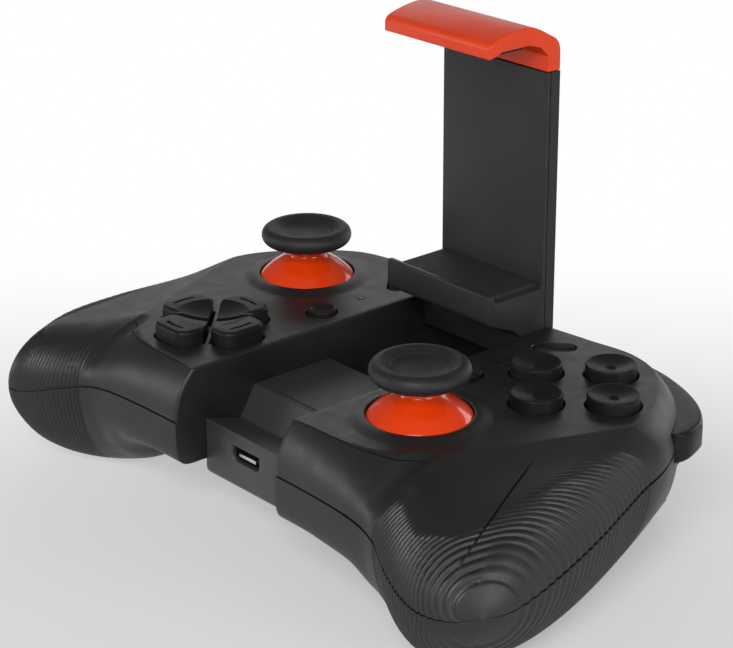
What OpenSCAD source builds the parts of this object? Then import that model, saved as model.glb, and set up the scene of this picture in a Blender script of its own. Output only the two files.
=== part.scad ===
// Mobile game controller with a flip-up phone clamp.
// X runs across the controller, Y towards the shoulder buttons, Z up from the table. Millimetres.

/* [Body] */
// Height of the flat deck above the table
deck_z = 30.4; // [29:0.1:33]
// Wall of the moulded shells
wall = 2; // [1.6:0.1:2.4]
// Half the width of the clamp channel
channel_half = 14.35; // [14.2:0.05:16]
// Height of the parting line at the channel's front
seam_front_z = 20.95; // [20:0.05:22]
// Height of the parting line at the back
seam_back_z = 22.45; // [21.8:0.05:23]
// Front edge of the shells at the parting line
front_y = -33; // [-36:0.1:-32.5]
// Back edge of the shells at the parting line
back_y = 39.6; // [39:0.1:42]
// How far the front panel stands back from the shells' front edge
panel_in = 6.75; // [6.5:0.05:7.5]
// Underside of the shells at the channel's front
belly_front_z = 11.75; // [10.5:0.05:12.5]
// Underside of the hump at the back, where the battery cover seats
hump_z = 1.5; // [1.2:0.1:2]
// How far each grip's end reaches from the channel's side
grip_reach = 52.35; // [50:0.05:57]
// How far forward each grip's end lies
grip_tip_y = -33.2; // [-38:0.1:-31]
// Height of each grip's end
grip_tip_z = 14.65; // [13:0.05:16]

/* [Clamp] */
// Height of the clamp's hinge axis
hinge_z = 25.7; // [25.2:0.1:26.2]
// Place of the clamp's hinge axis, front to back
hinge_y = 32.9; // [32.5:0.1:33.3]
// Radius of the hinge pin
hinge_pin_r = 1.2; // [0.9:0.05:1.5]
// Radius of the clamp's hinge barrel
barrel_r = 3; // [2.6:0.05:3.2]
// Gap between the clamp and each side of the channel
clamp_gap = 0.35; // [0.3:0.05:0.6]
// Thickness of the clamp's arm
arm_t = 3.1; // [2.9:0.05:3.3]
// How far the folded arm stops short of the front panel, where the hook sits
hook_over = 4.35; // [4.2:0.05:4.5]
// How far the jaw reaches forward of the hinge
jaw_reach = 14.6; // [13.5:0.1:14.8]
// Height of the jaw's lip above the hinge
jaw_h = 14.7; // [13.5:0.1:16]
// How far the hook's end reaches forward of the hinge
hook_reach = 15.2; // [14.5:0.1:16]
// Height of the hook above the arm
hook_h = 9.5; // [9:0.1:11]
// Thickness of the sliding plate
slider_t = 1.2; // [1:0.05:1.3]
// Half the width of the sliding plate
slider_half = 11; // [9:0.1:12]
// Clearance around the sliding plate
slider_gap = 0.1; // [0.08:0.01:0.15]
// Thickness of the rubber pads
pad_t = 0.9; // [0.6:0.05:1.2]

/* [Sticks] */
// Left stick, from the channel's side and along
stick_l = [23.4, 17.8]; // [-60:0.05:60]
// Right stick, from the channel's side and along
stick_r = [13.85, -11.5]; // [-60:0.05:60]
// Radius of each stick's hole in the deck
stick_hole_r = 11.3; // [11.2:0.05:11.5]
// Clearance between each stick's dome and its collar
collar_gap = 0.3; // [0.25:0.01:0.4]
// Depth of each stick's pivot below the deck
stick_pivot = 5.9; // [5.7:0.05:6.1]
// Radius of each stick's dome
dome_r = 11.6; // [11.4:0.05:11.7]
// Radius of each stick's cap
cap_r = 9; // [8:0.1:10]
// Height of the cap's widest place above the deck
cap_h = 8.6; // [8.3:0.1:10]
// Height of the collar round each stick's hole
collar_h = 1.3; // [1:0.05:1.5]
// Radius over the collar
collar_r = 12.5; // [12.2:0.05:12.8]
// Width of each stick's module
module_w = 12; // [11.6:0.1:12.6]
// Radius of the gimbal's trunnions
trunnion_r = 0.8; // [0.6:0.05:0.9]
// Running clearance of pins and trunnions
run_gap = 0.05; // [0.02:0.01:0.08]

/* [Buttons] */
// Middle of the four face buttons, from the channel's side and along
face_c = [23.4, 17]; // [-60:0.05:60]
// Distance from that middle to each face button
face_pitch = 9.57; // [9:0.01:10.4]
// Radius of each face button
face_r = 4.73; // [4:0.01:5.2]
// Height of the face buttons above the deck
face_h = 2.2; // [1.5:0.1:3]
// Middle of the direction keys, from the channel's side and along
pad_c = [13.65, -13.7]; // [-60:0.05:60]
// Radius over the four direction keys
pad_r = 11; // [10:0.1:11.4]
// Half the width of each direction key
pad_half = 4.9; // [4.4:0.1:5.2]
// Width of the gap between direction keys
pad_slot = 1.6; // [1.2:0.1:2.4]
// Height of the direction keys above the deck
pad_h = 3; // [2:0.1:4]
// Gap around every button in its hole
button_gap = 0.3; // [0.2:0.05:0.4]
// Travel of the face buttons and direction keys
button_travel = 1.2; // [0.8:0.1:1.4]
// Radius of the round menu buttons
menu_r = 2.8; // [2.4:0.05:3]
// Place of the menu buttons, from the channel's side and along
menu_at = [6.05, 7]; // [0:0.05:40]
// Radius and length of the oval keys
oval_size = [1.5, 7.6]; // [1:0.1:10]
// Place of the oval keys, from the channel's side and along
oval_at = [7.65, 28]; // [0:0.05:40]
// Height of the small buttons above the deck
small_h = 0.9; // [0.5:0.1:1.5]
// Radius of the light pipes
led_r = 0.7; // [0.5:0.05:0.9]
// Place of the light pipes, from the channel's side and along
led_at = [6.35, 17.2]; // [0:0.05:40]
// Spacing of the right-hand light pipes
led_pitch = 2.4; // [2:0.1:3]

/* [Shoulder] */
// Height of the bumpers' lower edge
bumper_z = 20.4; // [20:0.1:20.8]
// Height of each bumper
bumper_h = 8.1; // [7.9:0.1:8.4]
// How far a bumper stands out from the shells
bumper_out = 3.9; // [3.4:0.1:4.2]
// Thickness of a bumper inside the shells
bumper_in = 2.4; // [2:0.1:2.8]
// Travel of a bumper
bumper_travel = 1.2; // [0.8:0.1:1.4]
// Inner edge of each trigger, from the channel's side
trigger_in = 8.65; // [8.25:0.05:9.05]
// Width of each trigger
trigger_w = 19; // [17:0.1:20]
// Height of a trigger's pivot
trigger_z = 14.6; // [14.2:0.1:15]
// Place of a trigger's pivot, front to back
trigger_y = 33.4; // [33.2:0.1:33.8]
// Height of a trigger's lower end
trigger_tip_z = 1.8; // [1.6:0.1:2.4]
// Radius of the shoulder pins
shoulder_pin_r = 1; // [0.8:0.05:1.2]
// Radius of a trigger's hub
hub_r = 2.4; // [2.1:0.05:2.6]
// Curls of a trigger's return spring
spring_curls = 4; // [3:1:5]
// Pitch of a trigger's return spring
spring_pitch = 1.15; // [1.12:0.01:1.3]
// Wire radius of a trigger's return spring
spring_wire = 0.35; // [0.3:0.01:0.4]
// Radius of a trigger's return spring
spring_r = 1.8; // [1.7:0.05:1.9]

/* [Inside] */
// Underside of the main circuit board
board_z = 14.5; // [14.2:0.1:14.8]
// Thickness of the circuit board
board_t = 1.2; // [1:0.05:1.6]
// Width, depth and thickness of the battery
battery = [40, 24, 4.2]; // [3:0.1:60]
// Width, depth and height of the charging socket
usb = [7.5, 5.6, 2.8]; // [2:0.05:8]
// Place of the charging socket across the front panel
usb_x = -2.6; // [-8:0.1:8]
// Place of the grip screws, from the channel's side and along
grip_screw = [35.65, -6]; // [-60:0.05:60]
// Place of the front screws, from the channel's side and along
front_screw = [4.35, -25]; // [-60:0.05:60]
// Radius of the screws
screw_r = 1.1; // [0.9:0.05:1.3]
// Radius of the screw heads
head_r = 2; // [1.7:0.05:2.2]

/* [Hidden] */
$fn = 48;
e = 0.01;
under_z = deck_z - wall;
function beside(at) = [channel_half + at.x, at.y];
function across(at) = [-channel_half - at.x, at.y];
grip_screw_at = beside(grip_screw);
front_screw_at = beside(front_screw);
trigger_x = channel_half + trigger_in;
tray_t = 1.6;
clamp_half = channel_half - clamp_gap;
board_top = board_z + board_t;
pivot_z = deck_z - stick_pivot;
arm_front = hinge_y - 0.25;
arm_back = arm_front + arm_t;
panel_y = front_y + panel_in;
arm_top_z = hinge_z + hinge_y - panel_y - hook_over;
flange_t = 1;

// Rows of the body's loft, from the channel out to the grip's end. Each row holds the parting line
// in front and behind, the crest of the top in front and behind, the crest's height, the crest's
// edge angles, the belly's line in front and behind with its heights, and the belly's roundness.
// Places across are counted from the channel's side.
function chord(f, r, t) = [f.x + (r.x - f.x) * t, f.y + (r.y - f.y) * t];
function out(p) = [channel_half + p.x, p.y, p.z];
function row(f, r, tf, tr, zt, af, ar, kf, kr, zf, zr, nf, nr) =
  concat(out(f), out(r), beside(tf), beside(tr), [zt, af, ar], beside(kf), beside(kr), [zf, zr, nf, nr]);
function grip_row(f, r, t, zt, k, zb) =
  row(f, r, chord(f, r, t[0]), chord(f, r, t[1]), zt, 0, 0, chord(f, r, k[0]), chord(f, r, k[1]), zb, zb + 0.4,
      2, 2);
function tip(dx, dy, dz) = [grip_reach + dx, grip_tip_y + dy, grip_tip_z + dz];
ROWS = [
  row([0, front_y, seam_front_z], [0, back_y, seam_back_z],
      [0, front_y + 4.4], [0, back_y - 5.3], deck_z, 45, 30,
      [0, front_y + 6], [0, back_y - 6.6], belly_front_z, hump_z, 5, 3),
  row([9.65, front_y - 0.4, seam_front_z + 0.2], [9.65, back_y + 0.3, seam_back_z],
      [8.65, front_y + 4.8], [9.65, back_y - 4.3], deck_z, 45, 30,
      [9.65, front_y + 6.5], [9.65, back_y - 6.6], belly_front_z - 0.1, hump_z, 5, 3),
  row([18.65, front_y - 0.9, seam_front_z + 0.2], [22.65, back_y - 1, seam_back_z + 0.2],
      [16.65, front_y + 5.7], [20.35, back_y - 3.5], deck_z, 45, 30,
      [17.65, front_y + 10], [21.65, back_y - 7.6], belly_front_z - 2.8, hump_z + 0.7, 3.4, 3),
  row([23.85, front_y - 1.2, seam_front_z - 0.3], [35.15, back_y - 7.2, seam_back_z + 0.4],
      [22.65, front_y + 8.7], [29.75, back_y - 7.9], deck_z, 45, 35,
      [21.65, front_y + 13], [29.65, back_y - 12.6], 3.2, 4.5, 2.4, 2.6),
  row([26.85, front_y - 1.8, seam_front_z - 0.8], [44.25, back_y - 20, seam_back_z],
      [26.65, front_y + 14], [40.15, back_y - 22.1], deck_z, 38, 38,
      [26.15, front_y + 13], [34.65, back_y - 26.6], 1, 5.9, 2.2, 2.2),
  grip_row(tip(-23.2, -2.4, 4.9), tip(-5.5, 42.7, 6), [0.27, 0.74], deck_z - 1.8, [0.24, 0.58], 0.15),
  grip_row(tip(-17.6, -5.1, 3.2), tip(-1.8, 28.8, 3.5), [0.33, 0.68], deck_z - 3, [0.28, 0.58], 1),
  grip_row(tip(-12, -6.7, 1.4), tip(0.4, 17.2, 1.5), [0.4, 0.62], deck_z - 4.8, [0.36, 0.56], 2.9),
  grip_row(tip(-7.1, -6.7, 0.4), tip(1.2, 9.4, 0.2), [0.46, 0.56], deck_z - 8.5, [0.45, 0.55], 6.7),
  grip_row(tip(-3.1, -4.2, -0.2), tip(1.1, 4.4, -0.2), [0.48, 0.52], deck_z - 12.5, [0.48, 0.52], 10.7),
  grip_row(tip(0, 0, 0), tip(0, 0, 0), [0.5, 0.5], grip_tip_z, [0.5, 0.5], grip_tip_z - 0.4)];
DECK_ROW = 4;
LAST = len(ROWS) - 1;

// Smooth interpolation between the rows
function at_row(s) =
  let(i = max(0, min(LAST - 1, floor(s))), t = s - i, p1 = ROWS[i], p2 = ROWS[i + 1],
      p0 = i > 0 ? ROWS[i - 1] : 2 * p1 - p2, p3 = i + 2 <= LAST ? ROWS[i + 2] : 2 * p2 - p1)
  0.5 * (2 * p1 + (p2 - p0) * t + (2 * p0 - 5 * p1 + 4 * p2 - p3) * t * t
         + (3 * p1 - p0 - 3 * p2 + p3) * t * t * t);
function front_seam(s) = let(v = at_row(s)) [v[0], v[1], v[2]];
function back_seam(s) = let(v = at_row(s)) [v[3], v[4], v[5]];
function crest_z(s) = s <= DECK_ROW ? deck_z : min(at_row(s)[10], deck_z);
function edge_angle(s, k) = s >= DECK_ROW + 1 ? 0 : max(0, at_row(s)[k]);

// One side of the top, from the parting line up to the crest
function rise(p, t, zt, a0, n) =
  [for (k = [0:n]) let(a = a0 + (90 - a0) * (1 - k / n), h = (sin(a) - sin(a0)) / (1 - sin(a0)),
       w = (cos(a0) - cos(a)) / cos(a0))
     [t[0] + (p.x - t[0]) * h, t[1] + (p.y - t[1]) * h, zt + (p.z - zt) * w]];
// One side of the belly, from the parting line down
function fall(p, k0, zb, r, n) =
  [for (k = [0:n]) let(a = 90 * k / n, h = pow(max(0, cos(a)), 2 / r), v = pow(max(0, sin(a)), 2 / r))
     [k0[0] + (p.x - k0[0]) * h, k0[1] + (p.y - k0[1]) * h, p.z + (zb - p.z) * v]];
function rev(a) = [for (i = [len(a) - 1:-1:0]) a[i]];
function ease(t) = t * t * (3 - 2 * t);
RISE = 5;
FALL = 5;
MID = 6;
function top_section(s) =
  let(v = at_row(s), zt = crest_z(s),
      f = rise([v[0], v[1], v[2]], [v[6], v[7]], zt, edge_angle(s, 11), RISE),
      r = rise([v[3], v[4], v[5]], [v[8], v[9]], zt, edge_angle(s, 12), RISE))
  concat(f, rev(r));
function belly_section(s) =
  let(v = at_row(s), kf = [v[13], v[14]], kr = [v[15], v[16]],
      f = fall([v[0], v[1], v[2]], kf, v[17], v[19], FALL),
      r = fall([v[3], v[4], v[5]], kr, v[18], v[20], FALL),
      m = [for (k = [1:MID - 1]) let(t = k / MID, q = ease(min(1, t / 0.5)))
             [kf[0] + (kr[0] - kf[0]) * t, kf[1] + (kr[1] - kf[1]) * t, v[17] + (v[18] - v[17]) * q]])
  concat(f, m, rev(r));
STEPS = concat([for (i = [0:16]) i / 2], [8.35, 8.7, 9, 9.4, 9.75, 9.94]);
INNER = 15;

function unit(v) = v / max(norm(v), 1e-9);
// Grid of points moved inward by the wall; the parting line's edge moves level
function inset_grid(g, sign, depth) =
  let(nr = len(g), nc = len(g[0]))
  [for (i = [0:nr - 1]) [for (j = [0:nc - 1])
     let(a = g[min(i + 1, nr - 1)][j] - g[max(i - 1, 0)][j],
         b = j == 0 || j == nc - 1 ? [0, 0, j == 0 ? -sign : sign]
             : g[i][min(j + 1, nc - 1)] - g[i][max(j - 1, 0)],
         n = unit(cross(a, b)), q = g[i][j] + n * depth * sign)
     i == 0 ? [g[i][j].x, q.y, q.z] : q]];

// A hollow half shell, closed at the channel's side, with a solid grip end
module half_shell(grid, tip_point, sign) {
  ns = len(grid);
  nc = len(grid[0]);
  inner = [for (i = [0:INNER]) inset_grid(grid, sign, wall)[i]];
  flat = [for (i = [0:ns - 1]) for (j = [0:nc - 1]) grid[i][j]];
  flat_in = [for (i = [0:INNER]) for (j = [0:nc - 1]) inner[i][j]];
  hub = [for (k = [0:2]) (inner[INNER][0][k] + inner[INNER][nc - 1][k]) / 2
         + (k == 2 ? (grid[INNER][floor(nc / 2)].z - grid[INNER][0].z) * 0.3 : 0)];
  points = concat(flat, flat_in, [tip_point, hub]);
  o = ns * nc;
  tip_i = o + len(flat_in);
  hub_i = tip_i + 1;
  quads = function(a, b, c, d) [[a, b, c], [a, c, d]];
  faces = concat(
    [for (i = [0:ns - 2]) for (j = [0:nc - 2])
       each quads(i * nc + j, i * nc + j + 1, (i + 1) * nc + j + 1, (i + 1) * nc + j)],
    [for (j = [0:nc - 2]) [(ns - 1) * nc + j, (ns - 1) * nc + j + 1, tip_i]],
    [for (i = [0:INNER - 1]) for (j = [0:nc - 2])
       each quads(o + i * nc + j, o + (i + 1) * nc + j, o + (i + 1) * nc + j + 1, o + i * nc + j + 1)],
    [for (j = [0:nc - 2]) [o + INNER * nc + j + 1, o + INNER * nc + j, hub_i]],
    [[o + INNER * nc, o + INNER * nc + nc - 1, hub_i]],
    [for (j = [0:nc - 2]) each quads(j, o + j, o + j + 1, j + 1)],
    [for (i = [0:INNER - 1]) each quads(i * nc, (i + 1) * nc, o + (i + 1) * nc, o + i * nc)],
    [for (i = [0:INNER - 1])
       each quads(i * nc + nc - 1, o + i * nc + nc - 1, o + (i + 1) * nc + nc - 1, (i + 1) * nc + nc - 1)],
    [[INNER * nc, (INNER + 1) * nc, o + INNER * nc],
     [o + INNER * nc, (INNER + 1) * nc, o + INNER * nc + nc - 1],
     [o + INNER * nc + nc - 1, (INNER + 1) * nc, (INNER + 1) * nc + nc - 1],
     [o + INNER * nc + nc - 1, (INNER + 1) * nc + nc - 1, INNER * nc + nc - 1]],
    [for (i = [INNER + 1:ns - 2]) each quads(i * nc, (i + 1) * nc, (i + 1) * nc + nc - 1, i * nc + nc - 1)],
    [[(ns - 1) * nc, tip_i, (ns - 1) * nc + nc - 1]]);
  polyhedron(points, sign < 0 ? faces : [for (f = faces) rev(f)], convexity = 8);
}
module top_half() half_shell([for (s = STEPS) top_section(s)], out(tip(0, 0, 0)), -1);
module belly_half() half_shell([for (s = STEPS) belly_section(s)], out(tip(0, 0, 0)), 1);

// Openings in the deck

module petal(grow) {
  inner = pad_slot / sqrt(2) - grow * sqrt(2);
  half = pad_half + grow;
  reach = pad_r + grow;
  round_r = 1.6 + grow;
  corner = [for (a = [0:15:90]) [reach - round_r + round_r * cos(a), half - round_r + round_r * sin(a)]];
  polygon(concat([[inner, 0], [half + inner, -half]], [for (p = rev(corner)) [p.x, -p.y]], corner,
                 [[half + inner, half]]));
}
module petal_at(k) translate(across(pad_c)) rotate(90 * k) children();
module oval(r, l) {
  for (y = [-1, 1]) translate([0, y * (l / 2 - r)]) circle(r);
  square([2 * r, l - 2 * r], center = true);
}
module slanted(at) translate(at) rotate(at.x > 0 ? -45 : 45) children();
module drill(r) translate([0, 0, under_z - 4]) cylinder(r = r, h = 10);
module stick_hole() drill(stick_hole_r);
// Rounded collar whose bore follows the stick's dome
function dome_clear(z) = sqrt(pow(dome_r + collar_gap, 2) - pow(stick_pivot + z, 2));
module stick_collar() translate([0, 0, deck_z]) rotate_extrude() polygon(concat(
  [for (z = [-0.6, 0, collar_h - 0.25]) [dome_clear(z), z]],
  [for (k = [0:6]) let(a = 90 - 15 * k, r = dome_clear(collar_h) + 0.5)
     [r + (collar_r - r) * cos(a), collar_h * sin(a)]],
  [[collar_r, -0.6]]));
module face_place(k) translate(beside(face_c)) rotate(90 * k) translate([face_pitch, 0]) children();
module face_places() for (k = [0:3]) face_place(k) children();
module small_openings() {
  translate(beside(menu_at)) drill(menu_r + button_gap);
  slanted(beside(oval_at)) translate([0, 0, under_z - 4]) linear_extrude(10)
    oval(oval_size[0] + button_gap, oval_size[1] + 2 * button_gap);
}

// Shoulder outlines

BUMPER_ENDS = [0.4, 3.7];
function back_out(s) =
  let(d = back_seam(s + 0.02) - back_seam(s - 0.02), u = unit([d.x, d.y])) [-u.y, u.x];
function band(from, to, off, n) =
  [for (k = [0:n]) let(s = from + (to - from) * k / n, p = back_seam(s), o = back_out(s))
     [p.x + o.x * off, p.y + o.y * off]];
module bumper_outline(out, in, extra)
  polygon(concat(band(BUMPER_ENDS[0] - extra, BUMPER_ENDS[1] + extra, out, 14),
                 rev(band(BUMPER_ENDS[0] - extra, BUMPER_ENDS[1] + extra, -in, 14))));
module bumper_slot()
  translate([0, 0, bumper_z - button_gap]) linear_extrude(bumper_h + 2 * button_gap)
    bumper_outline(8, bumper_in + bumper_travel + button_gap, 0.08);
housing_t = 1.4;
side_gap = 0.3;
fit_gap = 0.1;
housing_x0 = trigger_x - side_gap - housing_t;
housing_x1 = trigger_x + trigger_w + side_gap + housing_t;
housing_y = trigger_y - hub_r - side_gap - housing_t;
housing_top = trigger_z + 4.8;
module trigger_bay()
  translate([housing_x0 - fit_gap, housing_y - fit_gap, -5])
    cube([housing_x1 - housing_x0 + 2 * fit_gap, 30, housing_top + fit_gap + 5]);

// Shells

boss_r = 3.2;
front_boss_r = 2.3;
boss_join = 20.2;
front_join = 18;
module top_features() {
  difference() {
    union() {
      top_half();
      translate([grip_screw_at.x, grip_screw_at.y, boss_join + fit_gap]) cylinder(r = boss_r, h = 7.4);
      translate([front_screw_at.x, front_screw_at.y, front_join + fit_gap])
        cylinder(r = front_boss_r, h = under_z - front_join + 0.6);
    }
    translate([grip_screw_at.x, grip_screw_at.y, boss_join - 1]) cylinder(r = screw_r, h = 6.4);
    translate([front_screw_at.x, front_screw_at.y, front_join - 1]) cylinder(r = screw_r, h = 8);
    small_openings();
    bumper_slot();
  }
}
module top_shell_left() {
  color("#2b2c2e") difference() {
    mirror([1, 0, 0]) top_features();
    translate(across(stick_l)) stick_hole();
    for (k = [0:3]) translate([0, 0, under_z - 4]) linear_extrude(10) petal_at(k) petal(button_gap);
    translate(across(led_at)) drill(led_r + e);
  }
  color("#2b2c2e") translate(across(stick_l)) stick_collar();
}
module top_shell_right() {
  color("#2b2c2e") difference() {
    top_features();
    translate(beside(stick_r)) stick_hole();
    face_places() drill(face_r + button_gap);
    for (k = [-1:1]) translate(beside(led_at) + [0, k * led_pitch]) drill(led_r + e);
  }
  color("#2b2c2e") translate(beside(stick_r)) stick_collar();
}
cover_edge = 5;
cover_size = [battery.x + 2 * cover_edge, battery.y];
cover_y = back_y - 20.6;
cover_screw_at = [battery.x / 2 + screw_r + 0.9, 0];
cover_screw_h = 5;
post_at = [9.65, 4];
module post(at, from) translate([at.x, at.y, from]) cylinder(r = 2.2, h = board_z - from);
module belly_features() {
  belly_half();
  translate([grip_screw_at.x, grip_screw_at.y, 1.9]) cylinder(r = boss_r, h = boss_join - 1.9);
  translate([front_screw_at.x, front_screw_at.y, belly_front_z + 1])
    cylinder(r = front_boss_r, h = front_join - belly_front_z - 1);
  post(beside(post_at), hump_z + 1);
}
module belly_cuts() {
  translate([grip_screw_at.x, grip_screw_at.y, -1]) cylinder(r = screw_r + fit_gap, h = 40);
  translate([grip_screw_at.x, grip_screw_at.y, -1]) cylinder(r = head_r + fit_gap, h = 5);
  translate([front_screw_at.x, front_screw_at.y, 0]) cylinder(r = screw_r + fit_gap, h = 40);
  translate([front_screw_at.x, front_screw_at.y, 0]) cylinder(r = head_r + fit_gap, h = belly_front_z + 2);
  bumper_slot();
  trigger_bay();
}
function flat(a) = [for (p = a) [p.y, p.z]];
module bottom_shell() {
  color("#27282a") difference() {
    union() {
      for (m = [0, 1]) mirror([m, 0, 0]) belly_features();
      along_x(channel_half)
        polygon(concat(flat(belly_section(0)),
                       rev(flat(inset_grid([for (s = STEPS) belly_section(s)], 1, wall)[0]))));
    }
    for (m = [0, 1]) mirror([m, 0, 0]) belly_cuts();
    translate([-channel_half, front_y - 10, 0])
      cube([2 * channel_half, panel_y + tray_t + fit_gap - front_y + 10, 40]);
    for (x = [-1, 1]) translate([x * cover_screw_at.x, cover_y, 0])
      cylinder(r = screw_r, h = cover_screw_h + 3);
  }
}

// The tray between the shells: channel floor, jaw pit, front panel and side walls

tray_gap = 0.15;
ledge_z = 17.8;
ledge_front_z = 19.6;
ledge_y = panel_y + 6.5;
step_y = ledge_y + 3.6;
floor_z = hinge_z - 2.25;
pit_y = hinge_y - 28.9;
pit_z = hinge_z - jaw_reach - 0.7;
pit_back = hinge_y + barrel_r + 0.4;
function inner_loop(gap) =
  concat(flat(inset_grid([for (s = STEPS) top_section(s)], -1, wall + gap)[0]),
         rev(flat(inset_grid([for (s = STEPS) belly_section(s)], 1, wall + gap)[0])));
module hinge_bore(r)
  translate([0, hinge_y, hinge_z]) rotate([0, 90, 0]) cylinder(r = r, h = 60, center = true);
module along_x(half) rotate([90, 0, 90]) translate([0, 0, -half]) linear_extrude(2 * half) children();
module channel_tray() {
  color("#202123") difference() {
    union() {
      for (x = [-1, 1]) translate([x * (channel_half + tray_t / 2), 0, 0]) along_x(tray_t / 2)
        polygon(inner_loop(tray_gap));
      along_x(channel_half)
        polygon([[panel_y, belly_front_z], [panel_y, ledge_front_z], [ledge_y, ledge_z], [step_y, floor_z],
          [pit_y, floor_z], [pit_y, pit_z], [pit_back, pit_z],
          [pit_back, pit_z - tray_t], [pit_y - tray_t, pit_z - tray_t], [pit_y - tray_t, floor_z - tray_t],
          [step_y + tray_t * 0.6, floor_z - tray_t], [ledge_y + tray_t * 0.5, ledge_z - tray_t],
          [panel_y + tray_t, ledge_front_z - tray_t], [panel_y + tray_t, belly_front_z]]);
    }
    hinge_bore(hinge_pin_r + run_gap);
    translate([-30, cover_y - battery.y / 2 - fit_gap, -1])
      cube([60, battery.y + 2 * fit_gap, hump_z + wall + battery.z + side_gap + 1]);
    translate([-30, panel_y + tray_t + fit_gap, -1])
      cube([60, pit_y - panel_y - 2 * (tray_t + fit_gap), board_top + side_gap + 1]);
    translate([usb_x - usb.x / 2 - fit_gap, panel_y - 5, usb_z - usb.z / 2 - fit_gap])
      cube([usb.x + 2 * fit_gap, 10, usb.z + 2 * fit_gap]);
  }
}
usb_z = board_z + board_t / 2;
module charging_socket() {
  color("#b9bcc0") translate([usb_x, panel_y, usb_z]) {
    difference() {
      translate([-usb.x / 2, 0, -usb.z / 2]) cube(usb);
      translate([-usb.x / 2 + 0.35, -1, -usb.z / 2 + 0.35]) cube([usb.x - 0.7, usb.y + 0.2, usb.z - 0.7]);
    }
    translate([-usb.x / 2 + 1.6, 0.6, 0.15]) cube([usb.x - 3.2, usb.y - 0.6, 0.6]);
  }
}

// Power and boards

module battery_cover() {
  color("#27282a") difference() {
    translate([-cover_size.x / 2, cover_y - cover_size.y / 2, 0])
      cube([cover_size.x, cover_size.y, hump_z - fit_gap]);
    for (x = [-1, 1]) translate([x * cover_screw_at.x, cover_y, -1]) {
      cylinder(r = screw_r + fit_gap, h = 5);
      cylinder(r = head_r + fit_gap, h = hump_z / 2 + 1);
    }
  }
}
module screw(h, head) {
  cylinder(r = head_r, h = head);
  cylinder(r = screw_r, h = h);
}
module cover_screws() {
  color("silver") for (x = [-1, 1]) translate([x * cover_screw_at.x, cover_y, fit_gap])
    screw(cover_screw_h, hump_z / 2 - fit_gap);
}
module case_screws() {
  color("silver") for (m = [0, 1]) mirror([m, 0, 0]) {
    translate([grip_screw_at.x, grip_screw_at.y, 2]) screw(boss_join + 3, 2);
    translate([front_screw_at.x, front_screw_at.y, belly_front_z + 0.6])
      screw(front_join - belly_front_z + 5, 1.4);
  }
}
module battery() {
  color("#6a7fa8") translate([-battery.x / 2, cover_y - battery.y / 2, hump_z + wall]) cube(battery);
}
board_front = panel_y + tray_t + 0.4;
board_back = housing_y - 0.5;
board_inner = channel_half + tray_t + 0.5;
board_step = pit_y - tray_t - 0.6;
BOARD = [[board_inner, board_step], [board_inner, board_back], beside([29.65, board_back]), beside([35.65, 20]),
  beside([35.65, 8]), beside([25.65, -8]), beside([19.65, board_front])];
module main_board() {
  color("#1f5a3a") translate([0, 0, board_z]) linear_extrude(board_t) difference() {
    polygon(concat(BOARD, [for (p = rev(BOARD)) [-p.x, p.y]]));
    translate([usb_x - usb.x / 2 - fit_gap, board_front - 1])
      square([usb.x + 2 * fit_gap, panel_y + usb.y + fit_gap - board_front + 1]);
    for (x = [-1, 1]) translate([x * front_screw_at.x, front_screw_at.y]) circle(front_boss_r + 0.4);
  }
}
module light_pipe(at)
  translate([at.x, at.y, board_top]) cylinder(r = led_r, h = deck_z - board_top + 0.1);
module light_pipes() {
  color("#9fd3ff") {
    light_pipe(across(led_at));
    for (k = [-1:1]) light_pipe(beside(led_at) + [0, k * led_pitch]);
  }
}

// Sticks

module_wall = 1.2;
ring_out = module_w - 2 * module_wall - 0.8;
ring_in = ring_out - 2.8;
ring_h = 2.6;
stem_r = 1.9;
module stick_module(at) {
  color("#3a3b3d") translate([at.x, at.y, 0]) difference() {
    translate([-module_w / 2, -module_w / 2, board_top]) cube([module_w, module_w, pivot_z + 1.8 - board_top]);
    translate([-module_w / 2 + module_wall, -module_w / 2 + module_wall, pivot_z - 3.4])
      cube([module_w - 2 * module_wall, module_w - 2 * module_wall, 10]);
    translate([0, 0, pivot_z]) rotate([0, 90, 0]) cylinder(r = trunnion_r + run_gap, h = 40, center = true);
  }
}
module stick_gimbal(at) {
  color("#c9c9c4") translate([at.x, at.y, pivot_z]) difference() {
    union() {
      cube([ring_out, ring_out, ring_h], center = true);
      rotate([0, 90, 0]) cylinder(r = trunnion_r, h = module_w - 0.4, center = true);
    }
    cube([ring_in, ring_in, 10], center = true);
    rotate([90, 0, 0]) cylinder(r = trunnion_r + run_gap, h = 40, center = true);
  }
}
dome_t = 1.1;
skirt_deg = 86;
neck_r = 4.4;
post_r = 2.6;
cap_low = 6.4;
cap_socket = 2.2;
neck_top = stick_pivot + cap_low;
neck_deg = asin(neck_r / dome_r);
module stick_dome(at) {
  color("#d64010") translate([at.x, at.y, pivot_z]) {
    rotate_extrude() polygon(concat(
      [[0, dome_r - 3], [0, neck_top + cap_socket], [post_r, neck_top + cap_socket], [post_r, neck_top],
       [neck_r, neck_top]],
      [for (k = [0:10]) let(a = neck_deg + (skirt_deg - neck_deg) * k / 10) dome_r * [sin(a), cos(a)]],
      [for (k = [10:-1:0]) let(a = 16 + (skirt_deg - 16) * k / 10) (dome_r - dome_t) * [sin(a), cos(a)]]));
    translate([0, 0, -2]) cylinder(r = stem_r, h = dome_r - 0.4);
    rotate([90, 0, 0]) cylinder(r = trunnion_r, h = ring_out - 0.2, center = true);
  }
}
dish_r = 5.7;
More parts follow.
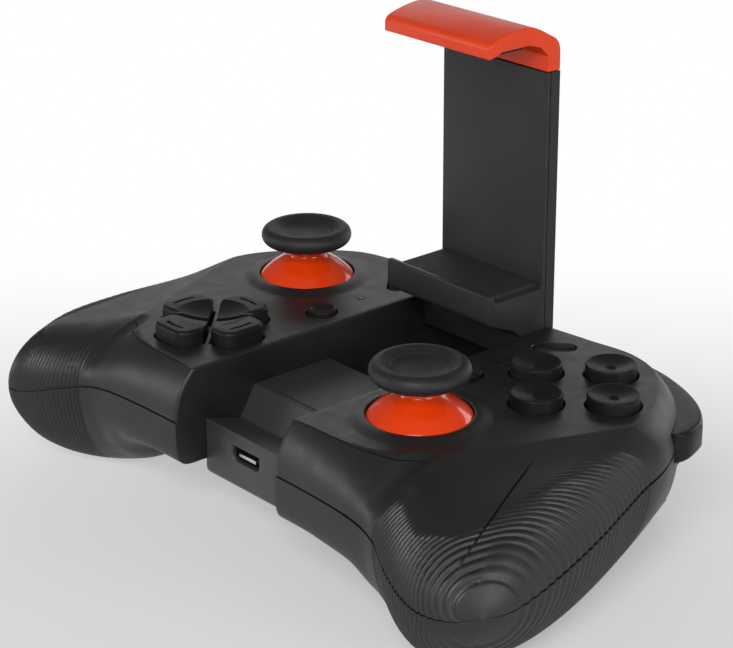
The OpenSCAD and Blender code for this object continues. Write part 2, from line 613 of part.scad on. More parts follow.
module stick_cap(at) {
  color("#1c1d1f") translate([at.x, at.y, deck_z]) rotate_extrude() polygon(concat(
    [[0, cap_low + cap_socket], [post_r, cap_low + cap_socket], [post_r, cap_low], [neck_r + 1, cap_low]],
    [for (a = [-70:20:110]) [cap_r - 1.9 + 1.9 * cos(a), cap_h + 1.9 * sin(a)]],
    [[dish_r, cap_h + 1], [dish_r * 0.5, cap_h + 0.75], [0, cap_h + 0.7]]));
}

// Buttons

key_low = housing_top + button_travel + 0.4;
button_stop = under_z - side_gap;
lip = 0.9;
module face_button(k) {
  color("#1f2022") face_place(k) {
    translate([0, 0, key_low]) cylinder(r = face_r, h = deck_z + face_h - 0.5 - key_low);
    translate([0, 0, deck_z + face_h - 0.5]) cylinder(r1 = face_r, r2 = face_r - 0.6, h = 0.5);
    translate([0, 0, button_stop - flange_t]) cylinder(r = face_r + lip, h = flange_t);
  }
}
module pad_key(k) {
  color("#1f2022") {
    translate([0, 0, key_low]) linear_extrude(deck_z + pad_h - 0.6 - key_low) petal_at(k) petal(0);
    translate([0, 0, deck_z + pad_h - 0.6]) linear_extrude(0.6) petal_at(k) petal(-0.5);
    translate([0, 0, button_stop - flange_t]) linear_extrude(flange_t) petal_at(k) petal(button_gap + 0.2);
  }
}
sheet_t = 1;
bump_r = 2.2;
bump_h = key_low - button_travel - side_gap - board_top - sheet_t;
module face_membrane() {
  color("#8c8f94") {
    translate([0, 0, board_top]) linear_extrude(sheet_t) face_places() circle(bump_r + 0.3);
    translate([0, 0, board_top]) linear_extrude(sheet_t) translate(beside(face_c)) circle(face_pitch);
    face_places() translate([0, 0, board_top]) cylinder(r = bump_r, h = sheet_t + bump_h);
  }
}
module pad_membrane() {
  color("#8c8f94") translate(across(pad_c)) translate([0, 0, board_top]) {
    cylinder(r = 8, h = sheet_t);
    for (k = [0:3]) rotate(90 * k) translate([7.4, 0, 0]) cylinder(r = bump_r - 0.4, h = sheet_t + bump_h);
  }
}
switch_h = 4;
small_travel = 0.6;
small_low = board_top + switch_h + small_travel + side_gap;
module menu_button(at) {
  color("#1f2022") translate(at) {
    translate([0, 0, small_low]) cylinder(r = menu_r, h = deck_z + small_h - small_low);
    translate([0, 0, button_stop - flange_t]) cylinder(r = menu_r + 0.6, h = flange_t);
  }
}
module oval_key(at) {
  color("#1f2022") slanted(at) {
    translate([0, 0, small_low]) linear_extrude(deck_z + small_h - small_low) oval(oval_size[0], oval_size[1]);
    translate([0, 0, button_stop - flange_t]) linear_extrude(flange_t)
      oval(oval_size[0] + 0.6, oval_size[1] + 1.2);
  }
}
module tact_switch() {
  translate([-2.2, -2.2, board_top]) cube([4.4, 4.4, switch_h - 1]);
  translate([0, 0, board_top]) cylinder(r = 1.2, h = switch_h);
}
module menu_switches() {
  color("#b0b2b5") for (m = [0, 1]) mirror([m, 0, 0]) {
    translate(beside(menu_at)) tact_switch();
    translate(beside([oval_at.x, min(oval_at.y, board_back - 2.4)])) tact_switch();
  }
}

// Shoulder buttons

// Share of the full overhang at a place along a bumper; its ends draw in
function bumper_share(s) =
  let(a = min(1, (s - BUMPER_ENDS[0]) / 0.4), b = min(1, (BUMPER_ENDS[1] - s) / 0.4))
  (0.6 + 0.4 * a) * (0.45 + 0.55 * b);
function bumper_section(k) =
  let(o = bumper_out * k, h = bumper_h)
  [[-bumper_in, 0], [o - 0.8 * k, 0], [o, 0.8], [o, 0.52 * h], [o - 0.6 * k, 0.62 * h], [o / 3, 0.82 * h],
   [0, 0.9 * h], [-bumper_in / 2, 0.96 * h], [-bumper_in, h]];
BUMPER_RINGS = 24;
module bumper_sweep() {
  rings = [for (i = [0:BUMPER_RINGS])
    let(s = BUMPER_ENDS[0] + (BUMPER_ENDS[1] - BUMPER_ENDS[0]) * i / BUMPER_RINGS,
        p = back_seam(s), o = back_out(s))
    [for (q = bumper_section(bumper_share(s))) [p.x + o.x * q.x, p.y + o.y * q.x, bumper_z + q.y]]];
  n = len(rings[0]);
  last = BUMPER_RINGS * n;
  polyhedron([for (r = rings) each r], concat(
    [for (i = [0:BUMPER_RINGS - 1]) for (k = [0:n - 1]) let(a = i * n + k, b = i * n + (k + 1) % n)
       each [[a, a + n, b], [b, a + n, b + n]]],
    [for (k = [1:n - 2]) [0, k, k + 1]], [for (k = [1:n - 2]) [last, last + k + 1, last + k]]));
}
module bumper() {
  color("#17181a") bumper_sweep();
}
// Closed smooth curve through a few points
function smooth(p, n) =
  let(c = len(p)) [for (i = [0:c - 1]) for (k = [0:n - 1])
    let(t = k / n, a = p[(i + c - 1) % c], b = p[i], d = p[(i + 1) % c], f = p[(i + 2) % c])
    0.5 * (2 * b + (d - a) * t + (2 * a - 5 * b + 4 * d - f) * t * t + (3 * b - a - 3 * d + f) * t * t * t)];
module trigger_profile() polygon(smooth([
  [trigger_y - 1, trigger_z + 2.2], [trigger_y + 4, trigger_z + 4.3], [trigger_y + 8.8, trigger_z + 3.2],
  [trigger_y + 10.2, trigger_z + 0.4], [trigger_y + 10.1, trigger_z - 4], [trigger_y + 7.4, trigger_z - 6.6],
  [trigger_y + 5.6, trigger_z - 8.4], [trigger_y + 5.3, trigger_tip_z + 2.2],
  [trigger_y + 5.7, trigger_tip_z + 0.8], [trigger_y + 4.6, trigger_tip_z],
  [trigger_y + 3.4, trigger_tip_z + 0.8], [trigger_y + 2.8, trigger_z - 8.2],
  [trigger_y + 2.4, trigger_z - 4.6], [trigger_y - 1.4, trigger_z - 1.8]], 4));
spring_mid = trigger_x + trigger_w / 2;
spring_room = spring_curls * spring_pitch + 2;
spring_clear = spring_r + spring_wire + 0.5;
module trigger_bore(r)
  translate([0, trigger_y, trigger_z]) rotate([0, 90, 0]) cylinder(r = r, h = 200, center = true);
module trigger() {
  color("#17181a") difference() {
    union() {
      translate([trigger_x, 0, 0]) rotate([90, 0, 90]) linear_extrude(trigger_w) trigger_profile();
      translate([trigger_x, trigger_y, trigger_z]) rotate([0, 90, 0]) cylinder(r = hub_r, h = trigger_w);
    }
    trigger_bore(shoulder_pin_r + run_gap);
    translate([spring_mid - spring_room / 2, trigger_y - 8, trigger_z - spring_clear])
      cube([spring_room, 8 + spring_clear, 12]);
  }
}
housing_low = 5;
module housing_cheek(x, low)
  translate([x, 0, 0]) rotate([90, 0, 90]) linear_extrude(housing_t)
    polygon([[housing_y, low], [housing_y + 3, low + 0.2], [trigger_y + 2.6, trigger_z - 5],
      [trigger_y + 3, housing_top], [housing_y, housing_top]]);
module trigger_housing() {
  color("#2b2c2e") difference() {
    union() {
      translate([0, housing_y + housing_t, 0]) rotate([90, 0, 0]) linear_extrude(housing_t)
        polygon([[housing_x0, hump_z + 0.3], [housing_x1, housing_low], [housing_x1, housing_top],
          [housing_x0, housing_top]]);
      housing_cheek(housing_x0, hump_z + 0.3);
      housing_cheek(housing_x1 - housing_t, housing_low);
    }
    trigger_bore(shoulder_pin_r);
  }
}
module trigger_pins() {
  color("silver") for (m = [0, 1]) mirror([m, 0, 0]) translate([housing_x0, trigger_y, trigger_z])
    rotate([0, 90, 0]) cylinder(r = shoulder_pin_r, h = housing_x1 - housing_x0);
}
// One unbroken helical tube along X
function coil_at(t) =
  let(a = 360 * spring_curls * t)
  [spring_pitch * spring_curls * (t - 0.5), spring_r * cos(a), spring_r * sin(a)];
SPRING_RINGS = spring_curls * 8;
SPRING_SIDES = 6;
function coil_ring(i) =
  let(t = i / SPRING_RINGS, c = coil_at(t), a = 360 * spring_curls * t, out = [0, cos(a), sin(a)])
  [for (k = [0:SPRING_SIDES - 1]) let(b = 360 * k / SPRING_SIDES)
     c + spring_wire * (cos(b) * out + sin(b) * [1, 0, 0])];
module coil() {
  rings = [for (i = [0:SPRING_RINGS]) coil_ring(i)];
  n = SPRING_SIDES;
  last = SPRING_RINGS * n;
  polyhedron([for (r = rings) each r], concat(
    [for (i = [0:SPRING_RINGS - 1]) for (k = [0:n - 1]) let(a = i * n + k, b = i * n + (k + 1) % n)
       each [[a, a + n, b], [b, a + n, b + n]]],
    [for (k = [1:n - 2]) [0, k, k + 1]], [for (k = [1:n - 2]) [last, last + k + 1, last + k]]));
}
SPRING_GAP = min([for (i = [0:SPRING_RINGS - 8])
  norm(coil_at(i / SPRING_RINGS) - coil_at((i + 8) / SPRING_RINGS))]) - 2 * spring_wire;
echo(least_spring_gap = SPRING_GAP);
module trigger_springs() {
  color("silver") for (m = [0, 1]) mirror([m, 0, 0]) translate([spring_mid, trigger_y, trigger_z]) coil();
}

// Clamp

slot_front = arm_front + (arm_t - slider_t) / 2 - slider_gap;
slot_low = hinge_z + jaw_h - 2;
lip_h = 0.9;
pad_edge = 1.5;
jaw_y = hinge_y - jaw_reach;
jaw_z = hinge_z + jaw_h;
seat_z = jaw_z - lip_h - pad_t;
module arm_profile() polygon([[arm_front, hinge_z], [hinge_y - 4.6, hinge_z - 1.6],
  [hinge_y - 5.6, hinge_z + 4.2], [hinge_y - 7.6, hinge_z + 6], [jaw_y + 0.4, hinge_z + 8.8],
  [jaw_y, hinge_z + 9.6], [jaw_y, jaw_z], [jaw_y + 1.2, jaw_z], [jaw_y + 2.2, seat_z], [arm_front, seat_z],
  [arm_front, arm_top_z], [slot_front, arm_top_z], [slot_front, hinge_z]]);
module clamp_arm() {
  color("#2e2f31") difference() {
    union() {
      along_x(clamp_half) arm_profile();
      translate([0, hinge_y, hinge_z]) rotate([0, 90, 0])
        cylinder(r = barrel_r, h = 2 * clamp_half, center = true);
    }
    hinge_bore(hinge_pin_r);
  }
}
back_low = hinge_z + barrel_r + 0.5;
module clamp_back() {
  color("#2e2f31") difference() {
    translate([-clamp_half, slot_front, back_low])
      cube([2 * clamp_half, arm_back - slot_front, arm_top_z - back_low]);
    translate([-slider_half - slider_gap, slot_front - e, slot_low])
      cube([2 * (slider_half + slider_gap), slider_t + 2 * slider_gap + e, arm_top_z - slot_low + 1]);
  }
}
module clamp_jaw_pad() {
  color("#3c3d3f") translate([-clamp_half + pad_edge, jaw_y + 2.4, seat_z])
    cube([2 * (clamp_half - pad_edge), arm_front - jaw_y - 2.7, pad_t]);
}
slider_low = slot_low + 0.5;
slider_in = 3;
module clamp_slider() {
  color("#4a4b4e") translate([-slider_half, slot_front + slider_gap, slider_low])
    cube([2 * slider_half, slider_t, arm_top_z + slider_in - slider_low]);
}
hook_low = arm_top_z + 0.15;
hook_top = arm_top_z + hook_h;
hook_tip = hinge_y - hook_reach;
hook_in = arm_top_z + 6;
module hook_profile() polygon([[arm_front, hook_low], [arm_back, hook_low], [arm_back, arm_top_z + 4.4],
  [arm_back - 0.7, arm_top_z + 5.7], [arm_back - 2.4, arm_top_z + 6.8], [arm_back - 6.4, hook_top - 0.4],
  [arm_back - 9.4, hook_top], [arm_back - 13, hook_top - 0.4], [hook_tip + 1.8, hook_top - 1.2],
  [hook_tip + 0.5, hook_top - 1.7], [hook_tip, hook_top - 2.3],
  [hook_tip, arm_top_z + 5.1], [hook_tip + 2.2, arm_top_z + 5.5],
  [hook_tip + 3.2, hook_in], [arm_front - 5, hook_in], [arm_front - 2, arm_top_z + 5.1],
  [arm_front, arm_top_z + 3.2]]);
module clamp_hook() {
  color("#d64010") difference() {
    along_x(clamp_half) hook_profile();
    translate([-slider_half, slot_front + slider_gap, arm_top_z - 1])
      cube([2 * slider_half, slider_t, slider_in + 1]);
  }
}
module clamp_hook_pad() {
  color("#3c3d3f") along_x(clamp_half - pad_edge)
    polygon([[hook_tip + 3.4, hook_in], [arm_front - 5, hook_in], [arm_front - 5.2, hook_in - pad_t],
      [hook_tip + 3.4, hook_in - pad_t]]);
}
module hinge_pin() {
  color("silver") translate([0, hinge_y, hinge_z]) rotate([0, 90, 0])
    cylinder(r = hinge_pin_r, h = 2 * (channel_half + tray_t), center = true);
}

// The part stands with the middle of its battery cover at the origin
module placed() translate([0, -cover_y, 0]) children();

placed() top_shell_left();
placed() top_shell_right();
placed() bottom_shell();
placed() channel_tray();
placed() battery_cover();
placed() battery();
placed() main_board();
placed() charging_socket();
placed() light_pipes();
placed() case_screws();
placed() cover_screws();
placed() stick_module(across(stick_l));  // stick_module_left
placed() stick_gimbal(across(stick_l));  // stick_gimbal_left
placed() stick_dome(across(stick_l));  // stick_dome_left
placed() stick_cap(across(stick_l));  // stick_cap_left
placed() stick_module(beside(stick_r));  // stick_module_right
placed() stick_gimbal(beside(stick_r));  // stick_gimbal_right
placed() stick_dome(beside(stick_r));  // stick_dome_right
placed() stick_cap(beside(stick_r));  // stick_cap_right
placed() pad_key(0);  // pad_right
placed() pad_key(1);  // pad_up
placed() pad_key(2);  // pad_left
placed() pad_key(3);  // pad_down
placed() pad_membrane();
placed() face_button(0);  // face_east
placed() face_button(1);  // face_north
placed() face_button(2);  // face_west
placed() face_button(3);  // face_south
placed() face_membrane();
placed() menu_button(across(menu_at));  // menu_left
placed() menu_button(beside(menu_at));  // menu_right
placed() oval_key(across(oval_at));  // oval_left
placed() oval_key(beside(oval_at));  // oval_right
placed() menu_switches();
placed() mirror([1, 0, 0]) bumper();  // bumper_left
placed() bumper();  // bumper_right
placed() mirror([1, 0, 0]) trigger();  // trigger_left
placed() trigger();  // trigger_right
placed() mirror([1, 0, 0]) trigger_housing();  // trigger_housing_left
placed() trigger_housing();  // trigger_housing_right
placed() trigger_pins();
placed() trigger_springs();
placed() clamp_arm();
placed() clamp_back();
placed() clamp_jaw_pad();
placed() clamp_slider();
placed() clamp_hook();
placed() clamp_hook_pad();
placed() hinge_pin();
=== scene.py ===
"""Dresses a mobile game controller with a flip-up phone clamp for its studio picture.

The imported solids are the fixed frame. Each class below is one sub-assembly: it keeps its sizes in
millimetres, builds its meshes in the frame and dresses them with a finish. X runs across the
controller, Y towards the shoulder buttons and Z up from the table.
"""
import logging
import math
from collections.abc import Callable, Sequence
from dataclasses import dataclass, field
from enum import Enum
from functools import cached_property
from typing import Optional

import bmesh
import bpy
import numpy as np
from mathutils import Matrix, Vector


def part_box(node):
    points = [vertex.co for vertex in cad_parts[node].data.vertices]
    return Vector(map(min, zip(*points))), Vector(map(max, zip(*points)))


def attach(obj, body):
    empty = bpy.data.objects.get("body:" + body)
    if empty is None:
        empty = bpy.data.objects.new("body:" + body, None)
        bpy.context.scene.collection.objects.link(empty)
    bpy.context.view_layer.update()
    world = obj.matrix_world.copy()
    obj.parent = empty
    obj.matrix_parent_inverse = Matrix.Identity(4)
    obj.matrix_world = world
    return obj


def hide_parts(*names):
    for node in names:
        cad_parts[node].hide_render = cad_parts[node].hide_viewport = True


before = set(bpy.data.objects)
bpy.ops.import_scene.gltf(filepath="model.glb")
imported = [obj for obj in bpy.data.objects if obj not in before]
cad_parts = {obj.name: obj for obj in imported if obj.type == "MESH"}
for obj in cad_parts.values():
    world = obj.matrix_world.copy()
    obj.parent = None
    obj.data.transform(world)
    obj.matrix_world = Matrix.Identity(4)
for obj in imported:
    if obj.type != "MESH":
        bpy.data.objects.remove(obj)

LOG = logging.getLogger("controller")
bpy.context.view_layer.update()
MM = 0.001

Point = Sequence[float]
Pair = tuple[float, float]
Triple = tuple[float, float, float]


class Side(Enum):
    """The two halves of the controller; the value is the sign of X."""

    LEFT = -1
    RIGHT = 1

    @property
    def word(self) -> str:
        """The side's name as it stands in the frame's names."""
        return self.name.lower()


def ease(low: float, high: float, value: np.ndarray) -> np.ndarray:
    """A smooth step of value from 0 at low to 1 at high."""
    t = np.clip((value - low) / (high - low), 0.0, 1.0)
    return t * t * (3 - 2 * t)


def unit(vectors: np.ndarray) -> np.ndarray:
    """The vectors at length 1."""
    return vectors / np.maximum(np.linalg.norm(vectors, axis=-1, keepdims=True), 1e-9)


def blend(a: np.ndarray, b: np.ndarray, c: np.ndarray, d: np.ndarray, t: np.ndarray) -> np.ndarray:
    """The point at a share t of the way from b to c, on the smooth curve through four knots."""
    return 0.5 * (2 * b + (c - a) * t + (2 * a - 5 * b + 4 * c - d) * t ** 2 + (3 * b - a - 3 * c + d) * t ** 3)


def arc(x: float, y: float, radius: float, start: float, end: float, count: int) -> list[Point]:
    """Points of an arc about (x, y), from one angle in degrees to another."""
    return [(x + radius * math.cos(a), y + radius * math.sin(a)) for a in np.radians(np.linspace(start, end, count))]


def spline(knots: Sequence[Point], steps: int, closed: bool = False) -> list[Point]:
    """Points of a smooth curve through knots.

    Args:
        knots: The points that the curve goes through.
        steps: Points from one knot to the next.
        closed: Whether the curve runs back to its first knot.

    Returns:
        The curve's points.
    """
    k = np.array(knots, float)
    count = len(k)
    out: list[Point] = []
    for i in range(count if closed else count - 1):
        if closed:
            a, b, c, d = (k[(i + n) % count] for n in (-1, 0, 1, 2))
        else:
            b, c = k[i], k[i + 1]
            a = k[i - 1] if i else 2 * b - c
            d = k[i + 2] if i + 2 < count else 2 * c - b
        out += [tuple(blend(a, b, c, d, t)) for t in np.linspace(0, 1, steps, endpoint=False)]
    return out if closed else [*out, tuple(k[-1])]


@dataclass
class Solid:
    """A closed mesh in millimetres, in the frame."""

    points: np.ndarray
    faces: list[tuple[int, ...]]

    @classmethod
    def stack(cls, loops: np.ndarray, start: Optional[Point] = None, end: Optional[Point] = None) -> "Solid":
        """Joins equal loops, one after the other, and closes both ends.

        Args:
            loops: Array of loops, points and coordinates.
            start: Point that closes the first loop, or None for a flat end.
            end: Point that closes the last loop, or None for a flat end.

        Returns:
            The closed solid, facing outward.
        """
        count, size = loops.shape[:2]
        points = [tuple(p) for p in loops.reshape(-1, 3)]
        faces: list[tuple[int, ...]] = []
        for i in range(count - 1):
            for j in range(size):
                k = (j + 1) % size
                faces.append((i * size + j, i * size + k, (i + 1) * size + k, (i + 1) * size + j))
        first = list(range(size))[::-1]
        last = [(count - 1) * size + j for j in range(size)]
        for ring, at in ((first, start), (last, end)):
            if at is None:
                faces.append(tuple(ring))
                continue
            points.append(tuple(at))
            faces.extend((ring[j], ring[(j + 1) % size], len(points) - 1) for j in range(size))
        return cls(np.array(points, float), faces).outward()

    @classmethod
    def turned(cls, profile: Sequence[Point], steps: int = 96) -> "Solid":
        """Turns a profile about Z.

        Args:
            profile: (radius, height) points from the axis back to the axis.
            steps: Points round each ring.

        Returns:
            The turned solid at the origin.
        """
        angle = np.linspace(0, 2 * math.pi, steps, endpoint=False)
        inner = [p for p in profile if p[0] > 1e-6]
        loops = np.array([[(r * math.cos(a), r * math.sin(a), z) for a in angle] for r, z in inner])
        return cls.stack(loops, (0, 0, profile[0][1]), (0, 0, profile[-1][1]))

    @classmethod
    def lifted(cls, outline: Callable[[float], np.ndarray], levels: Sequence[Point]) -> "Solid":
        """Stacks a growing or shrinking outline.

        Args:
            outline: Gives the closed (x, y) loop for an amount of growth.
            levels: (growth, height) of each loop, from low to high.

        Returns:
            The stacked solid.
        """
        return cls.stack(np.array([[(x, y, z) for x, y in outline(grow)] for grow, z in levels]))

    @classmethod
    def drawn(cls, profile: Sequence[Point], low: float, high: float) -> "Solid":
        """A (y, z) profile drawn along X from low to high."""
        return cls.stack(np.array([[(x, y, z) for y, z in profile] for x in (low, high)]))

    @classmethod
    def box(cls, low: Sequence[float], high: Sequence[float]) -> "Solid":
        """A box between two corners."""
        ring = [(low[1], low[2]), (high[1], low[2]), (high[1], high[2]), (low[1], high[2])]
        return cls.drawn(ring, low[0], high[0])

    @classmethod
    def tube(cls, path: np.ndarray, radii: np.ndarray, sides: int = 12) -> "Solid":
        """A round tube along a path.

        Args:
            path: Points of the tube's middle.
            radii: The radius at each point.
            sides: Points round the tube.

        Returns:
            The tube, closed at both ends.
        """
        along = unit(np.gradient(path, axis=0))
        side = unit(np.cross(along, (0.0, 0.0, 1.0)))
        over = np.cross(side, along)
        angle = np.linspace(0, 2 * math.pi, sides, endpoint=False)
        ring = np.cos(angle)[None, :, None] * side[:, None] + np.sin(angle)[None, :, None] * over[:, None]
        return cls.stack(path[:, None] + ring * radii[:, None, None])

    def outward(self) -> "Solid":
        """The solid with its faces turned outward.

        Returns:
            The solid itself.
        """
        volume = 0.0
        middle = self.points.mean(axis=0)
        for face in self.faces:
            p = self.points[list(face)] - middle
            volume += float(np.sum(np.cross(p[1:-1], p[2:]) @ p[0]))
        if volume < 0:
            self.faces = [face[::-1] for face in self.faces]
        return self

    def moved(self, x: float = 0.0, y: float = 0.0, z: float = 0.0) -> "Solid":
        """A copy moved by x, y and z."""
        return Solid(self.points + np.array((x, y, z)), list(self.faces))

    def swung(self, degrees: float, axis: str = "Z") -> "Solid":
        """A copy turned about an axis through the origin."""
        turn = np.array(Matrix.Rotation(math.radians(degrees), 3, axis))
        return Solid(self.points @ turn.T, list(self.faces))

    def mirrored(self) -> "Solid":
        """A copy on the other side of X = 0."""
        return Solid(self.points * np.array((-1.0, 1.0, 1.0)), [face[::-1] for face in self.faces])

    def on(self, side: Side) -> "Solid":
        """This right-hand solid, or its mirror image for the left side."""
        return self if side is Side.RIGHT else self.mirrored()

    def plus(self, *others: "Solid") -> "Solid":
        """This solid and others as one mesh.

        Args:
            others: The solids to add.

        Returns:
            A new solid.
        """
        points, faces = [self.points], list(self.faces)
        for other in others:
            shift = sum(len(p) for p in points)
            faces += [tuple(i + shift for i in face) for face in other.faces]
            points.append(other.points)
        return Solid(np.concatenate(points), faces)

    def piece(self, name: str) -> bpy.types.Object:
        """A Blender object of this solid, in metres.

        Args:
            name: The object's name.

        Returns:
            The object, in the scene.
        """
        mesh = bpy.data.meshes.new(name)
        mesh.from_pydata((self.points * MM).tolist(), [], self.faces)
        mesh.update()
        piece = bpy.data.objects.new(name, mesh)
        bpy.context.scene.collection.objects.link(piece)
        return piece


def combine(piece: bpy.types.Object, operation: str, *tools: Solid) -> None:
    """Cuts solids out of a piece, or joins them to it.

    Args:
        piece: The piece that changes.
        operation: DIFFERENCE or UNION.
        tools: The solids, taken one after the other.
    """
    for tool in tools:
        other = tool.piece("tool")
        step = piece.modifiers.new("step", "BOOLEAN")
        step.operation = operation
        step.object = other
        step.solver = "MANIFOLD"
        graph = bpy.context.evaluated_depsgraph_get()
        result = bpy.data.meshes.new_from_object(piece.evaluated_get(graph))
        piece.modifiers.clear()
        before = piece.data
        piece.data = result
        bpy.data.meshes.remove(before)
        spare = other.data
        bpy.data.objects.remove(other)
        bpy.data.meshes.remove(spare)


def soften(piece: bpy.types.Object, width: float, segments: int = 3, angle: float = 25.0,
           where: Optional[Callable[[Vector], bool]] = None) -> None:
    """Rounds the edges of a piece that are sharper than an angle.

    Args:
        piece: The piece that changes.
        width: Width of the rounding in millimetres.
        segments: Faces across the rounding.
        angle: Least angle between two faces, in degrees.
        where: Tells which places, in metres, are rounded; None for all.
    """
    shape = bmesh.new()
    shape.from_mesh(piece.data)
    bmesh.ops.remove_doubles(shape, verts=shape.verts, dist=1e-6)
    inside = [e for e in shape.edges if where is None or all(where(v.co) for v in e.verts)]
    bmesh.ops.dissolve_limit(shape, angle_limit=math.radians(0.5), verts=[] if where else shape.verts, edges=inside)
    limit = math.radians(angle)
    edges = [e for e in shape.edges if len(e.link_faces) == 2 and e.calc_face_angle(0.0) > limit
             and (where is None or all(where(v.co) for v in e.verts))]
    bmesh.ops.bevel(shape, geom=edges, offset=width * MM, segments=segments, profile=0.5, affect="EDGES",
                    clamp_overlap=True)
    shape.to_mesh(piece.data)
    shape.free()
    piece.data.update()


def rounded(low: float, high: float, radius: float, foot: float = 0.0, steps: int = 5) -> list[Point]:
    """Levels of a lifted solid with a rounded top edge.

    Args:
        low: Height of the foot.
        high: Height of the top.
        radius: Radius of the top edge.
        foot: Growth of the outline at the foot.
        steps: Faces across the rounding.

    Returns:
        (growth, height) pairs for Solid.lifted.
    """
    return [(foot, low), *arc(-radius, high - radius, radius, 0, 90, steps + 1)]


def add(tree: bpy.types.NodeTree, kind: str, **values: object) -> bpy.types.Node:
    """Adds a shader node.

    Args:
        tree: The nodes that it joins.
        kind: The kind of node.
        values: Values of its inputs, with underscores for the spaces in their names.

    Returns:
        The node.
    """
    node = tree.nodes.new(f"ShaderNode{kind}")
    for name, value in values.items():
        node.inputs[name.replace("_", " ")].default_value = value
    return node


def reckon(tree: bpy.types.NodeTree, operation: str, *values: bpy.types.NodeSocket) -> bpy.types.NodeSocket:
    """The result of a math node on two sockets.

    Args:
        tree: The nodes that it joins.
        operation: The operation, as the math node names it.
        values: The two sockets.

    Returns:
        The result's socket.
    """
    node = add(tree, "Math")
    node.operation = operation
    for value, socket in zip(values, node.inputs):
        tree.links.new(value, socket)
    return node.outputs[0]


@dataclass(frozen=True)
class Finish:
    """A moulded, rubbed or plated surface, made of nodes.

    Sizes are in millimetres: grain is the width of the surface's texture and relief its height,
    and patch is the width of the slow changes in colour and gloss.
    """

    name: str
    colour: Triple
    second: Triple
    roughness: Pair
    grain: float = 0.3
    relief: float = 0.01
    patch: float = 14.0
    metallic: float = 0.0
    specular: float = 0.5
    coat: float = 0.0
    stretch: Triple = (1.0, 1.0, 1.0)

    def material(self) -> bpy.types.Material:
        """The finish as a material, made once.

        Returns:
            The material, new or known.
        """
        known = bpy.data.materials.get(self.name)
        if known is not None:
            return known
        material = bpy.data.materials.new(self.name)
        material.use_nodes = True
        tree = material.node_tree
        link = tree.links.new
        shader = tree.nodes["Principled BSDF"]
        for name, value in (("Metallic", self.metallic), ("Specular IOR Level", self.specular),
                            ("Coat Weight", self.coat), ("Coat Roughness", 0.06)):
            shader.inputs[name].default_value = value
        ramp = add(tree, "ValToRGB")
        for stop, position, colour in zip(ramp.color_ramp.elements, (0.36, 0.66), (self.colour, self.second)):
            stop.position, stop.color = position, (*colour, 1.0)
        link(self.noise(tree, self.patch, 3.0), ramp.inputs["Fac"])
        link(ramp.outputs["Color"], shader.inputs["Base Color"])
        low, high = self.roughness
        spread = add(tree, "MapRange", From_Min=0.3, From_Max=0.7, To_Min=low, To_Max=high)
        link(self.noise(tree, self.patch * 0.22, 5.0), spread.inputs["Value"])
        link(spread.outputs["Result"], shader.inputs["Roughness"])
        bump = add(tree, "Bump", Distance=self.relief * MM)
        link(self.noise(tree, self.grain, 4.0), bump.inputs["Height"])
        link(bump.outputs["Normal"], shader.inputs["Normal"])
        return material

    def noise(self, tree: bpy.types.NodeTree, width: float, detail: float) -> bpy.types.NodeSocket:
        """A noise over the piece's own coordinates.

        Args:
            tree: The material's nodes.
            width: Width of the noise in millimetres.
            detail: Octaves of finer noise.

        Returns:
            The noise's socket.
        """
        place, turn = add(tree, "TexCoord"), add(tree, "Mapping", Scale=self.stretch)
        noise = add(tree, "TexNoise", Scale=1.0 / (width * MM), Detail=detail)
        tree.links.new(place.outputs["Object"], turn.inputs["Vector"])
        tree.links.new(turn.outputs["Vector"], noise.inputs["Vector"])
        return noise.outputs["Fac"]


BLACK, BLACK_2 = (0.010, 0.010, 0.0105), (0.013, 0.013, 0.0135)
SHELL = Finish("moulded_shell", BLACK, BLACK_2, (0.40, 0.48), 0.22, 0.012)
BELLY = Finish("moulded_belly", BLACK, BLACK_2, (0.42, 0.50), 0.22, 0.012)
TRAY = Finish("moulded_tray", (0.040, 0.040, 0.0412), (0.046, 0.046, 0.0472), (0.42, 0.50), 0.22, 0.012)
KEYS = Finish("moulded_key", (0.009, 0.009, 0.0095), (0.012, 0.012, 0.0125), (0.36, 0.44), 0.25, 0.006,
              specular=0.16)
MATT = Finish("matt_key", (0.005, 0.005, 0.0055), (0.007, 0.007, 0.0075), (0.60, 0.70), 0.25, 0.010, specular=0.2)
CAPS = Finish("moulded_cap", BLACK, BLACK_2, (0.50, 0.60), 0.20, 0.014, specular=0.4)
PADS = Finish("soft_pad", (0.020, 0.020, 0.021), (0.026, 0.026, 0.027), (0.62, 0.74), 0.35, 0.030, specular=0.3)
ORANGE = Finish("orange_gloss", (0.74, 0.042, 0.003), (0.78, 0.048, 0.004), (0.12, 0.18), 0.5, 0.003)
HOOK = Finish("orange_hook", (0.70, 0.046, 0.006), (0.74, 0.052, 0.007), (0.32, 0.40), 0.25, 0.008, specular=0.35)
GLOSS = Finish("polished_black", BLACK, BLACK_2, (0.30, 0.38), 0.4, 0.005, specular=0.16)
CLAMP = Finish("moulded_clamp", (0.022, 0.022, 0.0228), (0.027, 0.027, 0.0278), (0.36, 0.44), 0.25, 0.010,
               specular=0.2)
INNER = Finish("moulded_inner", (0.030, 0.030, 0.031), (0.038, 0.038, 0.039), (0.45, 0.55), 0.40, 0.015)
STEEL = Finish("brushed_steel", (0.58, 0.58, 0.60), (0.66, 0.66, 0.68), (0.24, 0.36), 0.12, 0.006, metallic=1.0,
               stretch=(0.15, 1.0, 1.0))
BOARD = Finish("board_mask", (0.010, 0.085, 0.035), (0.016, 0.120, 0.050), (0.30, 0.45), 0.8, 0.02, 3.0)
CELL = Finish("cell_film", (0.10, 0.17, 0.30), (0.13, 0.21, 0.36), (0.30, 0.42), 1.2, 0.03, 6.0)
LIGHT = Finish("clear_pipe", (0.006, 0.006, 0.007), (0.009, 0.009, 0.010), (0.12, 0.20), 0.4, 0.004, coat=0.2)


